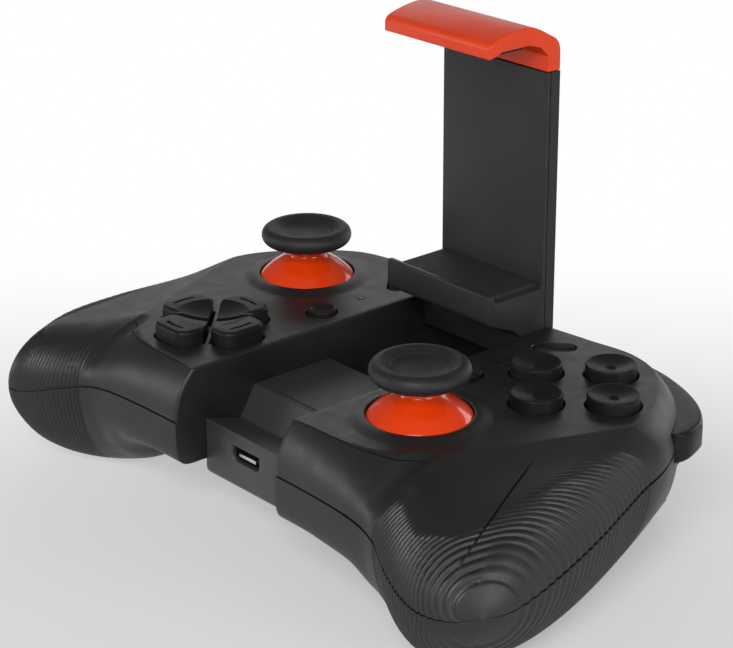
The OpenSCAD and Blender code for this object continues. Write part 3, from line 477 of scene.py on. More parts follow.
def dress(piece: bpy.types.Object, finish: Finish, body: str, slot: str, *nodes: str, sharp: float = 32.0) -> None:
    """Finishes a piece, sets it on its body and lets it stand for the frame's nodes.

    Args:
        piece: The piece.
        finish: Its finish.
        body: The body that carries it.
        slot: A material slot's name; not used.
        nodes: The nodes it stands for.
        sharp: Angle over which an edge stays sharp, in degrees.
    """
    piece.data.materials.clear()
    piece.data.materials.append(finish.material())
    piece.data.shade_smooth()
    piece.data.set_sharp_from_angle(angle=math.radians(sharp))
    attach(piece, body)
    if nodes:
        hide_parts(*nodes)
    LOG.info("%s: %d faces on %s", piece.name, len(piece.data.polygons), body)


def keep(finish: Finish, *nodes: str) -> None:
    """Gives the frame's own nodes a finish and leaves their shape.

    Args:
        finish: The finish.
        nodes: The nodes' names.
    """
    for name in nodes:
        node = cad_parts[name]
        material = finish.material()
        if not node.material_slots:
            node.data.materials.append(material)
        for holder in node.material_slots:
            holder.material = material
        LOG.info("%s: kept", name)


# Columns of a row of the loft: parting line, crests, crest height and angles, belly lines, heights, roundness
FRONT, BACK, FRONT_CREST, BACK_CREST = slice(0, 3), slice(3, 6), slice(6, 8), slice(8, 10)
CREST, FRONT_ANGLE, BACK_ANGLE = 10, 11, 12
FRONT_BELLY, BACK_BELLY = slice(13, 15), slice(15, 17)
FRONT_LOW, BACK_LOW, FRONT_POWER, BACK_POWER = 17, 18, 19, 20
BACK_PLAN = slice(3, 5)
GRIP_ROW = 5  # The first row that belongs to the grip


@dataclass(frozen=True)
class BodyLoft:
    """The smooth outer form of one half, lofted from the channel out to the grip's end."""

    channel: float = 14.35
    deck: float = 30.4
    wall: float = 2.0
    front: float = -52.0
    back: float = 20.6
    seam_front: float = 20.95
    seam_back: float = 22.45
    belly_front: float = 11.75
    hump: float = 1.5
    reach: float = 52.35
    tip_y: float = -52.2
    tip_z: float = 14.65
    ribs: int = 24
    rib_depth: float = 0.30
    rib_share: float = 0.30
    rib_front: tuple[float, ...] = (0.5, 0.40, 0.0505, -0.00074)
    rib_back: tuple[float, ...] = (2.6, 1.40, -0.0130)
    seam_groove: tuple[float, ...] = (0.55, 0.5)
    fold: float = 4.24
    fold_soft: float = 0.04
    edge: float = 0.45
    front_edge: float = 0.6

    @cached_property
    def rows(self) -> np.ndarray:
        """The loft's rows: parting line, crests, crest height and angles, belly lines and roundness.

        Returns:
            One row for each section, from the middle out to the grip's end.
        """
        fr, bk, sf, sb = self.front, self.back, self.seam_front, self.seam_back
        bf, hu, top = self.belly_front, self.hump, self.deck
        body = [
            self.row((0, fr, sf), (0, bk, sb), (0, fr + 4.4), (0, bk - 5.3), (top, 45, 30),
                     (0, fr + 6), (0, bk - 6.6), (bf, hu, 5, 3)),
            self.row((9.65, fr - 0.4, sf + 0.2), (9.65, bk + 0.3, sb), (8.65, fr + 4.8), (9.65, bk - 4.3),
                     (top, 45, 30), (9.65, fr + 6.5), (9.65, bk - 6.6), (bf - 0.1, hu, 5, 3)),
            self.row((18.65, fr - 0.9, sf + 0.2), (22.65, bk - 1, sb + 0.2), (16.65, fr + 5.7),
                     (20.35, bk - 3.5), (top, 45, 30), (17.65, fr + 10), (21.65, bk - 7.6),
                     (bf - 2.8, hu + 0.7, 3.4, 3)),
            self.row((23.85, fr - 1.2, sf - 0.3), (35.15, bk - 7.2, sb + 0.4), (22.65, fr + 8.7),
                     (29.75, bk - 7.9), (top, 45, 35), (21.65, fr + 13), (29.65, bk - 12.6),
                     (3.2, 4.5, 2.4, 2.6)),
            self.row((26.85, fr - 1.8, sf - 0.8), (44.25, bk - 20, sb), (26.65, fr + 14), (40.15, bk - 22.1),
                     (top, 38, 38), (26.15, fr + 13), (34.65, bk - 26.6), (1, 5.9, 2.2, 2.2)),
        ]
        grip = [
            self.grip_row((-23.2, -2.4, 4.9), (-5.5, 42.7, 6), (0.27, 0.74), top - 1.8, (0.24, 0.58), 0.15),
            self.grip_row((-17.6, -5.1, 3.2), (-1.8, 28.8, 3.5), (0.33, 0.68), top - 3, (0.28, 0.58), 1),
            self.grip_row((-12, -6.7, 1.4), (0.4, 17.2, 1.5), (0.4, 0.62), top - 4.8, (0.36, 0.56), 2.9),
            self.grip_row((-7.1, -6.7, 0.4), (1.2, 9.4, 0.2), (0.46, 0.56), top - 8.5, (0.45, 0.55), 6.7),
            self.grip_row((-3.1, -4.2, -0.2), (1.1, 4.4, -0.2), (0.48, 0.52), top - 12.5, (0.48, 0.52), 10.7),
            self.grip_row((0, 0, 0), (0, 0, 0), (0.5, 0.5), self.tip_z, (0.5, 0.5), self.tip_z - 0.4),
        ]
        return np.array(body + grip, float)

    def row(self, f: Point, r: Point, tf: Point, tr: Point, crest: Point, kf: Point, kr: Point,
            belly: Point) -> list[float]:
        """One row of the loft, with places across counted from the channel's side.

        Args:
            f: Front of the parting line.
            r: Rear of the parting line.
            tf: Front crest, seen from above.
            tr: Rear crest, seen from above.
            crest: Height of the crests and the angles at them.
            kf: Front belly line, seen from above.
            kr: Rear belly line, seen from above.
            belly: Heights of the belly lines and their roundness.

        Returns:
            The row's values.
        """
        out: list[float] = []
        for place in (f, r, tf, tr):
            out += [self.channel + place[0], *place[1:]]
        out += crest
        for place in (kf, kr):
            out += [self.channel + place[0], *place[1:]]
        return out + list(belly)

    def grip_row(self, f: Point, r: Point, t: Point, crest: float, k: Point, low: float) -> list[float]:
        """One row of the grip, with places counted from the grip's end.

        Args:
            f: Front of the parting line.
            r: Rear of the parting line.
            t: Shares of the way from front to rear at which the crests lie.
            crest: Height of the crests.
            k: Shares at which the belly lines lie.
            low: Height of the front belly line.

        Returns:
            The row's values.
        """
        tip = np.array((self.reach, self.tip_y, self.tip_z))
        a, b = tip + np.array(f), tip + np.array(r)
        mix = [tuple(a[:2] + (b - a)[:2] * share) for share in (*t, *k)]
        return self.row(tuple(a), tuple(b), mix[0], mix[1], (crest, 0, 0), mix[2], mix[3], (low, low + 0.4, 2, 2))

    @property
    def tip(self) -> Triple:
        """The end of the right-hand grip."""
        return (self.channel + self.reach, self.tip_y, self.tip_z)

    def at(self, s: np.ndarray) -> np.ndarray:
        """The loft's values at stations s, on a smooth curve through the rows.

        Args:
            s: The stations, counted in rows.

        Returns:
            One row of values for each station.
        """
        last = len(self.rows) - 1
        s = np.atleast_1d(np.asarray(s, float))
        i = np.clip(np.floor(s).astype(int), 0, last - 1)
        t = (s - i)[:, None]
        p1, p2 = self.rows[i], self.rows[i + 1]
        p0 = np.where((i > 0)[:, None], self.rows[np.maximum(i - 1, 0)], 2 * p1 - p2)
        p3 = np.where((i + 2 <= last)[:, None], self.rows[np.minimum(i + 2, last)], 2 * p2 - p1)
        v = blend(p0, p1, p2, p3, t)
        fall = self.deck - self.folded(s)
        soft = self.deck - 0.5 * (fall + np.hypot(fall, self.fold_soft))
        v[:, CREST] = np.where(s < GRIP_ROW, soft, v[:, CREST])
        for k in (FRONT_ANGLE, BACK_ANGLE):
            v[:, k] = np.where(s >= GRIP_ROW, 0.0, np.maximum(0.0, v[:, k]))
        return v

    def folded(self, s: np.ndarray) -> np.ndarray:
        """Height of the slope that runs from the deck's fold down to the first row of the grip.

        Args:
            s: The stations.

        Returns:
            The heights.
        """
        t = (s - self.fold) / (GRIP_ROW - self.fold)
        grip, after = self.rows[GRIP_ROW:GRIP_ROW + 2, CREST]
        end = (after - self.deck) / 2 * (GRIP_ROW - self.fold)
        start = 1.25 * (grip - self.deck)
        x = np.maximum(t, 0.0)
        curve = (self.deck * (2 * x ** 3 - 3 * x ** 2 + 1) + start * (x ** 3 - 2 * x ** 2 + x)
                 + grip * (3 * x ** 2 - 2 * x ** 3) + end * (x ** 3 - x ** 2))
        return np.where(t < 0, self.deck + start * t, curve)

    @cached_property
    def depths(self) -> tuple[np.ndarray, np.ndarray]:
        """Stations, and how deep each lies behind the grip's end.

        Returns:
            The stations and their depths.
        """
        s = np.linspace(0, 10, 4001)
        v = self.at(s)
        middle = (v[:, FRONT] + v[:, BACK]) / 2
        run = np.concatenate([[0.0], np.cumsum(np.linalg.norm(np.diff(middle, axis=0), axis=1))])
        return s, run[-1] - run

    def depth(self, s: np.ndarray) -> np.ndarray:
        """How deep stations s lie behind the grip's end."""
        return np.interp(s, *self.depths)

    def stations(self) -> np.ndarray:
        """Stations that are close enough to carry the grip's ribs.

        Returns:
            The stations, from the channel out to near the grip's end.
        """
        s, deep = self.depths
        far, near = self.depth(np.array(3.86)), self.depth(np.array(9.94))
        runs = [np.arange(far, 10.0, -0.157), np.arange(10.0, 4.0, -0.1), np.arange(4.0, near, -0.06)]
        return np.concatenate([np.linspace(0.15, 3.82, 62), np.interp(-np.concatenate(runs), -deep, s)])

    def rise(self, p: np.ndarray, t: np.ndarray, crest: np.ndarray, angle: np.ndarray, u: np.ndarray) -> np.ndarray:
        """The curve from the parting line (u 0) up to a crest (u 1).

        Args:
            p: Points of the parting line.
            t: Points of the crest, seen from above.
            crest: Heights of the crest.
            angle: Angles at the crest, in degrees.
            u: Places on the curve.

        Returns:
            A grid of points.
        """
        low = np.radians(angle)[:, None]
        a = low + (math.pi / 2 - low) * (1 - u[None, :])
        h = (np.sin(a) - np.sin(low)) / (1 - np.sin(low))
        w = (np.cos(low) - np.cos(a)) / np.cos(low)
        return np.stack([t[:, 0:1] + (p[:, 0:1] - t[:, 0:1]) * h, t[:, 1:2] + (p[:, 1:2] - t[:, 1:2]) * h,
                         crest[:, None] + (p[:, 2:3] - crest[:, None]) * w], -1)

    def fall(self, p: np.ndarray, k: np.ndarray, low: np.ndarray, power: np.ndarray, q: np.ndarray) -> np.ndarray:
        """The curve from the parting line (q 0) down to a belly line (q 1), evenly spaced.

        Args:
            p: Points of the parting line.
            k: Points of the belly line, seen from above.
            low: Heights of the belly line.
            power: Roundness of the curve.
            q: Places on the curve.

        Returns:
            A grid of points.
        """
        n = power[:, None]
        knee = 0.5 ** (1 / n)
        v = np.minimum(1.0, 2 * q[None, :]) * knee
        h = np.minimum(1.0, 2 - 2 * q[None, :]) * knee
        first = q[None, :] <= 0.5
        across = np.where(first, np.maximum(0.0, 1 - v ** n) ** (1 / n), h)
        down = np.where(first, v, np.maximum(0.0, 1 - h ** n) ** (1 / n))
        return np.stack([k[:, 0:1] + (p[:, 0:1] - k[:, 0:1]) * across,
                         k[:, 1:2] + (p[:, 1:2] - k[:, 1:2]) * across,
                         p[:, 2:3] + (low[:, None] - p[:, 2:3]) * down], -1)

    def top(self, s: np.ndarray, u: np.ndarray, m: np.ndarray) -> np.ndarray:
        """Grid of the top half: front rise, deck and rear rise at stations s.

        Args:
            s: The stations.
            u: Places on the rises.
            m: Places over the deck.

        Returns:
            The grid.
        """
        v = self.at(s)
        a, b, crest = v[:, None, FRONT_CREST], v[:, None, BACK_CREST], v[:, CREST]
        flat = np.repeat(crest[:, None, None], len(m), 1)
        deck = np.concatenate([a + (b - a) * m[None, :, None], flat], -1)
        front = self.rise(v[:, FRONT], v[:, FRONT_CREST], crest, v[:, FRONT_ANGLE], u)
        rear = self.rise(v[:, BACK], v[:, BACK_CREST], crest, v[:, BACK_ANGLE], u)
        return np.concatenate([front, deck, rear[:, ::-1]], 1)

    def belly(self, s: np.ndarray, q: np.ndarray, m: np.ndarray) -> np.ndarray:
        """Grid of the bottom half: front fall, belly and rear fall at stations s.

        Args:
            s: The stations.
            q: Places on the falls.
            m: Places over the belly.

        Returns:
            The grid.
        """
        v = self.at(s)
        t = ease(0.0, 0.5, m)
        a, b = v[:, None, FRONT_BELLY], v[:, None, BACK_BELLY]
        start, end = v[:, FRONT_LOW, None], v[:, BACK_LOW, None]
        low = (start + (end - start) * t[None, :])[..., None]
        middle = np.concatenate([a + (b - a) * m[None, :, None], low], -1)
        front = self.fall(v[:, FRONT], v[:, FRONT_BELLY], v[:, FRONT_LOW], v[:, FRONT_POWER], q)
        rear = self.fall(v[:, BACK], v[:, BACK_BELLY], v[:, BACK_LOW], v[:, BACK_POWER], q)
        return np.concatenate([front, middle, rear[:, ::-1]], 1)

    def on_top(self, s: float, c: float) -> np.ndarray:
        """A point of the top half; c runs 0 to 1 up the front, to 2 over the deck and to 3 down the rear.

        Args:
            s: The point's station.
            c: Its place across the section.

        Returns:
            The point.
        """
        at, none = np.array([s]), np.array([])
        if c <= 1:
            return self.top(at, np.array([c]), none)[0, 0]
        if c < 2:
            return self.top(at, none, np.array([c - 1]))[0, 0]
        return self.top(at, np.array([3 - c]), none)[0, -1]

    def outward(self, s: float, c: float, d: float = 0.01) -> np.ndarray:
        """The direction straight out of the top half at a point, found over a small step d.

        Args:
            s: The point's station.
            c: Its place across the section.
            d: The step.

        Returns:
            The unit vector.
        """
        along = self.on_top(s + d, c) - self.on_top(s - d, c)
        normal = unit(np.cross(along, self.on_top(s, c + d) - self.on_top(s, c - d)))
        return normal * np.sign(normal[2])

    def normals(self, grid: np.ndarray) -> np.ndarray:
        """Outward unit normals of a grid; level along the parting line.

        Args:
            grid: The grid.

        Returns:
            One unit vector for each point.
        """
        normal = np.cross(np.gradient(grid, axis=0), np.gradient(grid, axis=1))
        outward = grid - grid.mean(axis=(0, 1))
        normal *= np.sign(np.sum(normal * outward))
        normal[:, (0, -1), 2] = 0.0
        return unit(normal)

    def rib_number(self, deep: np.ndarray, round_by: np.ndarray) -> tuple[np.ndarray, np.ndarray]:
        """Which rib lies at each point of a grid, counted from the grip's end, and the ribs' pitch there.

        The ribs crowd together at the front of the end and spread out round the back.

        Args:
            deep: Depths of the grid's rows behind the grip's end.
            round_by: How far round its section each point lies, 0 at the front to 1 at the back.

        Returns:
            The rib's number, whole in the middle of a groove, and the pitch.
        """
        n = np.arange(-1.0, self.ribs + 4)
        front, back = (sum(c * n ** k for k, c in enumerate(terms)) for terms in (self.rib_front, self.rib_back))
        x = np.clip(round_by / 0.72, 0.0, 1.0)
        share = 0.5 * np.sin(math.pi * x / 2) + 0.5 * x * (1.25 - 0.25 * x ** 4)
        number, pitch = np.zeros_like(share), np.zeros_like(share)
        for i, far in enumerate(deep):
            for j, k in enumerate(share[i]):
                place = front + k * (back - front)
                number[i, j] = np.interp(far, place, n)
                pitch[i, j] = np.interp(number[i, j], n[:-1] + 0.5, np.diff(place))
        return number, pitch

    def smooth_zone(self, deep: np.ndarray, across: np.ndarray) -> np.ndarray:
        """How smooth the top is, 1 where no rib shows: over the grip and on a patch near its end.

        Args:
            deep: Depths behind the grip's end, one per row.
            across: Places across a section, one per column.

        Returns:
            A grid of shares from 0 to 1.
        """
        far, c = deep[:, None], across[None, :]
        low = 0.57 + 0.3 * (1 - ease(7.0, 14.0, far))
        high = 1.05 + 0.25 * np.sqrt(np.maximum(far - 9.0, 0.0))
        over = ease(0.0, 0.13, c - low + 0.05) * (1 - ease(0.0, 0.35, c - high + 0.08)) * ease(7.6, 9.6, far)
        patch = 0.85 * np.exp(-((far - 4.7) / 2.5) ** 4 - ((c - 2.3) / 0.36) ** 4)
        return np.maximum(over, patch)

    def ribbed(self, grid: np.ndarray, s: np.ndarray, across: np.ndarray, faded: bool) -> np.ndarray:
        """Sinks the grip's ribs and the parting line's groove into a grid.

        Args:
            grid: The smooth grid.
            s: The grid's stations.
            across: The grid's places across a section, 0 to 3.
            faded: Whether the ribs fade over the top of the grip.

        Returns:
            The ribbed grid.
        """
        deep = self.depth(s)
        steps = np.linalg.norm(np.diff(grid, axis=1), axis=2)
        run = np.concatenate([np.zeros((len(grid), 1)), np.cumsum(steps, axis=1)], 1)
        ribbed = deep < self.depth(np.array(4.0))
        number = np.full(run.shape, float(self.ribs + 2))
        pitch = np.ones(run.shape)
        number[ribbed], pitch[ribbed] = self.rib_number(deep[ribbed], (run / run[:, -1:])[ribbed])
        wave = (0.5 + 0.5 * np.cos(2 * math.pi * number)) ** 1.5
        size = np.minimum(self.rib_depth, self.rib_share * pitch)
        size = size * ease(-0.4, -0.15, number) * (1 - ease(self.ribs - 0.4, self.ribs + 0.1, number))
        if faded:
            size = size * (1 - self.smooth_zone(deep, across))
        normal = self.normals(grid)
        out = grid - normal * (size * wave)[..., None]
        for k, sunk in enumerate(self.seam_groove):
            for column in (k, -1 - k):
                out[:, column] = grid[:, column] - normal[:, 0 if column >= 0 else -1] * sunk
        return out

    def rim(self, loop: np.ndarray, steps: int = 7) -> np.ndarray:
        """Loops that round the shell's edge at the channel's side, from the side out.

        Args:
            loop: The section at the channel's side.
            steps: Number of loops.

        Returns:
            The loops, the first on the channel's side.
        """
        along = np.gradient(loop, axis=0)
        normal = unit(np.stack([np.zeros(len(loop)), along[:, 2], -along[:, 1]], -1))
        normal *= np.sign(np.sum(normal * (loop - loop.mean(axis=0))))
        normal[:3], normal[-3:] = (0.0, -1.0, 0.0), (0.0, 1.0, 0.0)
        wide = self.edge + (self.front_edge - self.edge) * (1 - ease(self.front, self.front + 7, loop[:, 1]))
        loops = []
        for k in range(steps):
            a = math.pi / 2 * k / steps
            shift = loop - normal * wide[:, None] * (1 - math.sin(a))
            shift[:, 0] = self.channel + wide * (1 - math.cos(a))
            loops.append(shift)
        return np.array(loops)

    def hollow(self, grid: np.ndarray, beyond: float) -> np.ndarray:
        """Loops of the space inside a half, drawn past the parting line.

        Args:
            grid: A coarse grid of the half.
            beyond: How far, up or down, the space reaches past the parting line.

        Returns:
            The loops, inset by the wall.
        """
        inner = grid - self.normals(grid) * self.wall
        inner[0, :, 0] = self.channel + self.wall
        past = np.array((0.0, 0.0, beyond))
        return np.concatenate([inner[:, :1] + past, inner, inner[:, -1:] + past], 1)


LOFT = BodyLoft()


@dataclass
class Shells:
    """The two top shells and the bottom shell that join along the parting line."""

    loft: BodyLoft = LOFT
    stick_hole: float = 11.3
    collar: float = 13.4
    collar_high: float = 0.7
    hole_gap: float = 0.3
    crease: tuple[Pair, ...] = (
        (4.64, 1.58), (5.06, 1.61), (5.51, 1.61), (6.01, 1.59), (6.53, 1.55), (7.01, 1.41), (7.23, 1.27), (7.43, 1.05),
        (7.63, 0.94), (7.83, 0.86), (8.13, 0.65))
    crease_cut: Pair = (0.45, 0.5)
    deck_line: tuple[Pair, ...] = (
        (0.12, 1.0), (1.02, 0.985), (1.75, 0.97), (2.44, 0.95), (3.3, 0.905), (3.9, 0.885), (4.2, 0.9))
    deck_cut: Pair = (0.4, 0.3)
    bay_low: Triple = (21.2, 9.2, -5.0)
    bay_high: Triple = (43.8, 45.0, 19.5)
    panel_y: float = -45.0
    grip_screw: Pair = (50.0, -25.0)
    grip_seat: float = 6.2
    front_screw: Pair = (18.7, -44.0)
    front_seat: float = 13.7
    head: float = 2.1
    head_room: float = 2.2
    shank: float = 1.2
    past_seam: float = 2.5
    coarse: np.ndarray = field(default_factory=lambda: np.arange(0, 7.6, 0.5))

    def columns(self) -> tuple[np.ndarray, np.ndarray]:
        """Places across the rises and over the middle of a fine section.

        Returns:
            The two sets of places.
        """
        edge = np.concatenate([[0.0, 0.013, 0.016], np.linspace(0.05, 1.0, 36)])
        middle = np.concatenate([[0.012], np.linspace(0.06, 0.94, 22), [0.988]])
        return edge, middle

    def half(self, form: Callable[..., np.ndarray], faded: bool) -> np.ndarray:
        """The ribbed grid of a half, from the channel's side to near the grip's end.

        Args:
            form: Gives the half's smooth grid.
            faded: Whether the ribs fade over the top of the grip.

        Returns:
            The fine grid.
        """
        edge, middle = self.columns()
        s = np.concatenate([[0.0], self.loft.stations()])
        across = np.concatenate([edge, 1 + middle, 3 - edge[::-1]])
        return self.loft.ribbed(form(s, edge, middle), s, across, faded)

    def top_solid(self) -> Solid:
        """The right-hand top shell before anything is cut from it."""
        grid = self.half(self.loft.top, True)
        return Solid.stack(np.concatenate([self.loft.rim(grid[0]), grid[1:]]), end=self.loft.tip)

    def top_space(self) -> Solid:
        """The space inside the right-hand top shell.

        Returns:
            The solid to cut.
        """
        grid = self.loft.top(self.coarse, np.linspace(0, 1, 6), np.linspace(0, 1, 8)[1:-1])
        loops = self.loft.hollow(grid, -self.past_seam)
        return Solid.stack(loops, end=loops[-1].mean(axis=0) + np.array((0.0, 0.0, 0.3)))

    def groove(self, path: Sequence[Pair], wide: float, deep: float) -> Solid:
        """A fine groove along a path on the top, running out at both ends.

        Args:
            path: Places on the top half.
            wide: Width of the groove.
            deep: Depth of the groove.

        Returns:
            The blade to cut.
        """
        places = spline(path, 10)
        points = np.array([self.loft.on_top(s, c) for s, c in places])
        out = np.array([self.loft.outward(s, c) for s, c in places])
        side = unit(np.cross(out, np.gradient(points, axis=0))) * wide / 2
        t = np.linspace(0, 1, len(points))
        sunk = out * (deep * np.minimum(1.0, np.minimum(t, 1 - t) / 0.1) - 0.02)[:, None]
        return Solid.stack(np.stack([points + side * 1.6 + out, points - side * 1.6 + out,
                                     points - side * 0.6 - sunk, points + side * 0.6 - sunk], 1))

    def back_line(self, s: np.ndarray) -> tuple[np.ndarray, np.ndarray]:
        """Points of the back parting line, seen from above, and the directions out of it.

        Args:
            s: The stations.

        Returns:
            The points and the unit vectors.
        """
        before, at, after = (self.loft.at(s + step)[:, BACK_PLAN] for step in (-0.02, 0.0, 0.02))
        d = unit(after - before)
        return at, np.stack([-d[:, 1], d[:, 0]], -1)

    def bevelled(self, radius: float = 0.0) -> list[Point]:
        """(growth, height) pairs of a hole through the deck with a small bevel, past a radius."""
        r, z = radius + self.hole_gap, self.loft.deck
        return [(r, z - 6), (r, z - 0.22), (r + 0.08, z - 0.08), (r + 0.24, z + 0.02), (r + 0.3, z + 1)]

    def button_hole(self, radius: float) -> Solid:
        """A round hole through the deck with a small bevel."""
        side = self.bevelled(radius)
        return Solid.turned([(0, side[0][1]), *side, (0, side[-1][1])])

    def stick_collar(self, sticks: "Sticks") -> Solid:
        """The soft collar that swells out of the deck round a stick.

        Args:
            sticks: The sticks, which know their dome.

        Returns:
            The solid at the origin.
        """
        z, top, r = self.loft.deck - 0.05, self.collar_high + 0.05, self.collar
        inner = sticks.clear(self.collar_high) + 0.4
        swell = [(inner + (r - inner) * t, z + top * (0.5 + 0.5 * math.cos(math.pi * t)))
                 for t in np.linspace(1, 0, 16)]
        return Solid.turned([(0, z - 0.6), (r, z - 0.6), *swell, (0, z + top)], 128)

    def stick_opening(self, sticks: "Sticks") -> Solid:
        """A stick's hole, which follows the dome through the collar.

        Args:
            sticks: The sticks, which know their dome.

        Returns:
            The solid to cut, at the origin.
        """
        r, z, top = self.stick_hole, self.loft.deck, self.collar_high
        bore = [(sticks.clear(h), z + h) for h in (-0.6, -0.3, 0.0, top - 0.35)]
        lip = [(sticks.clear(top) + 0.08, z + top - 0.12), (sticks.clear(top) + 0.32, z + top + 0.02)]
        return Solid.turned([(0, z - 8), (r, z - 8), (r, z - 0.6), *bore, *lip, (lip[-1][0], z + 4), (0, z + 4)], 128)

    def build(self, keys: "DeckKeys", sticks: "Sticks", slot: list[Solid]) -> None:
        """Builds the shells and cuts the deck's openings.

        Args:
            keys: The keys that need holes.
            sticks: The sticks that need holes.
            slot: The room in which the right-hand bumper moves.
        """
        for side in Side:
            shell = self.top_solid().on(side).piece(f"shell_{side.word}")
            combine(shell, "DIFFERENCE", self.top_space().on(side))
            at = sticks.place(side)
            combine(shell, "UNION", self.stick_collar(sticks).moved(*at))
            holes = [self.stick_opening(sticks).moved(*at), *keys.holes(self, side)]
            lines = [self.groove(self.deck_line, *self.deck_cut).on(side)]
            if side is Side.RIGHT:
                lines.append(self.groove(self.crease, *self.crease_cut))
            combine(shell, "DIFFERENCE", *holes, *lines, *(room.on(side) for room in slot))
            dress(shell, SHELL, "case", "shell_plastic", f"top_shell_{side.word}")
        self.build_belly(slot)

    def build_belly(self, slot: list[Solid]) -> None:
        """Builds the bottom shell in one piece from grip to grip, with the bumpers' slots.

        Args:
            slot: The room in which the right-hand bumper moves.
        """
        grid = self.half(self.loft.belly, False)
        mirror = np.array((-1.0, 1.0, 1.0))
        tip = np.array(self.loft.tip)
        shell = Solid.stack(np.concatenate([(grid * mirror)[::-1], grid]), tip * mirror, tip).piece("belly")
        rough = self.loft.belly(self.coarse, np.linspace(0, 1, 7), np.linspace(0, 1, 8)[1:-1])
        loops = self.loft.hollow(rough, self.past_seam)
        space = Solid.stack(loops, end=loops[-1].mean(axis=0))
        between = loops[:1] * mirror + np.array((self.loft.wall, 0.0, 0.0))
        half = self.loft.channel
        combine(shell, "DIFFERENCE", space, space.mirrored(), Solid.stack(np.concatenate([between, between * mirror])),
                Solid.box((-half, -75, 0), (half, self.panel_y + 0.9, 40)))
        for side in Side:
            cuts = [Solid.box(self.bay_low, self.bay_high), *slot,
                    self.screw_hole(self.grip_seat).moved(*self.grip_screw),
                    self.screw_hole(self.front_seat).moved(*self.front_screw)]
            combine(shell, "DIFFERENCE", *(cut.on(side) for cut in cuts))
        front = (self.panel_y - 0.3) * MM
        soften(shell, 0.45, 4, 30.0, lambda p: abs(abs(p.x) - half * MM) < 2e-5 and p.y < front)
        dress(shell, BELLY, "case", "shell_plastic", "bottom_shell")

    def screw_hole(self, seat: float) -> Solid:
        """A sunk hole for a screw's head, up to its seat."""
        r, shank, top = self.head, self.shank, seat - self.head_room
        return Solid.turned(((0, -2), (r, -2), (r, top), (shank, top), (shank, 40), (0, 40)), 40)


@dataclass
class Sticks:
    """The two thumb sticks: a glossy dome that turns in the deck and a rubber cap on its neck."""

    left: Pair = (-37.75, -1.2)
    right: Pair = (28.2, -30.5)
    deck: float = LOFT.deck
    pivot: float = 5.9
    dome: float = 11.25
    dome_wall: float = 1.1
    neck: float = 3.95
    cap: float = 9.0
    cap_mid: float = 8.75
    cap_low: float = 6.4
    cap_roll: float = 1.75
    post: float = 2.6
    post_high: float = 2.2
    collar_gap: float = 0.3

    def place(self, side: Side) -> Pair:
        """Where a side's stick stands."""
        return self.left if side is Side.LEFT else self.right

    def clear(self, high: float) -> float:
        """Radius of a bore that clears the dome at a height above the deck."""
        return math.sqrt((self.dome + self.collar_gap) ** 2 - (self.pivot + high) ** 2)

    def dome_solid(self) -> Solid:
        """The dome with its neck, post and stem, about the pivot.

        Returns:
            The solid at the origin.
        """
        top = self.pivot + self.cap_low
        skirt = math.radians(86)
        bends = ((0.0, 5.4), (0.1, 4.88), (0.55, 4.31), (1.5, 3.57), (3.1, 2.48), (4.5, 1.33), (5.15, 0.7))
        waist = spline([(self.neck + out, self.pivot + up) for out, up in bends], 6)
        fillet = [(self.neck, top), *waist[:-1]]
        low = math.acos((self.pivot + 0.55) / self.dome)
        out = [(self.dome * math.sin(a), self.dome * math.cos(a)) for a in np.linspace(low, skirt, 28)]
        inner = self.dome - self.dome_wall
        back = [(inner * math.sin(a), inner * math.cos(a)) for a in np.linspace(skirt, math.radians(52), 16)]
        foot = (self.dome - self.dome_wall / 2) * math.cos(skirt) - 0.25
        post = [(0, top + self.post_high), (self.post, top + self.post_high), (self.post, top)]
        under = [(self.neck + 1.2, self.pivot + 2.2), (self.neck - 1.2, self.pivot + 3.4)]
        shell = Solid.turned([*post, *fillet, *out, (self.dome - self.dome_wall / 2, foot), *back, *under,
                              (0, self.pivot + 3.4)], 128)
        stem = Solid.turned(((0, -2), (1.7, -2), (1.9, -1.8), (1.9, inner - 0.5), (0, inner - 0.5)), 32)
        bar = Solid.turned(((0, -4.3), (0.8, -4.3), (0.8, 4.3), (0, 4.3)), 24).swung(90, "X")
        return shell.plus(stem, bar)

    def cap_solid(self) -> Solid:
        """The cap's rubber: a flared foot, a rolled rim and a dished top, about the deck.

        Returns:
            The solid at the origin.
        """
        mid, low, roll, neck = self.cap_mid, self.cap_low, self.cap_roll, self.neck
        under = [(self.post, low + self.post_high), (self.post, low), (neck + 0.9, low), (neck + 1.2, low + 0.12),
                 (neck + 1.7, low + 0.3)]
        rim = arc(self.cap - roll, mid, roll, -72, 132, 30)
        dish = spline((rim[-1], (5.45, mid + 0.95), (4.95, mid + 0.62), (4.0, mid + 0.36), (2.6, mid + 0.22),
                       (1.2, mid + 0.17)), 5)
        return Solid.turned([(0, under[0][1]), *under, *rim, *dish[1:], (0, mid + 0.16)], 128)

    def build(self) -> None:
        """Builds both sticks and dresses the gimbals under them."""
        for side in Side:
            at = self.place(side)
            dome = self.dome_solid().moved(*at, self.deck - self.pivot).piece(f"dome_{side.word}")
            dress(dome, ORANGE, f"{side.word}_stick", "orange", f"stick_dome_{side.word}")
            cap = self.cap_solid().moved(*at, self.deck).piece(f"cap_{side.word}")
            dress(cap, CAPS, f"{side.word}_stick", "rubber", f"stick_cap_{side.word}")
            keep(INNER, f"stick_module_{side.word}", f"stick_gimbal_{side.word}")


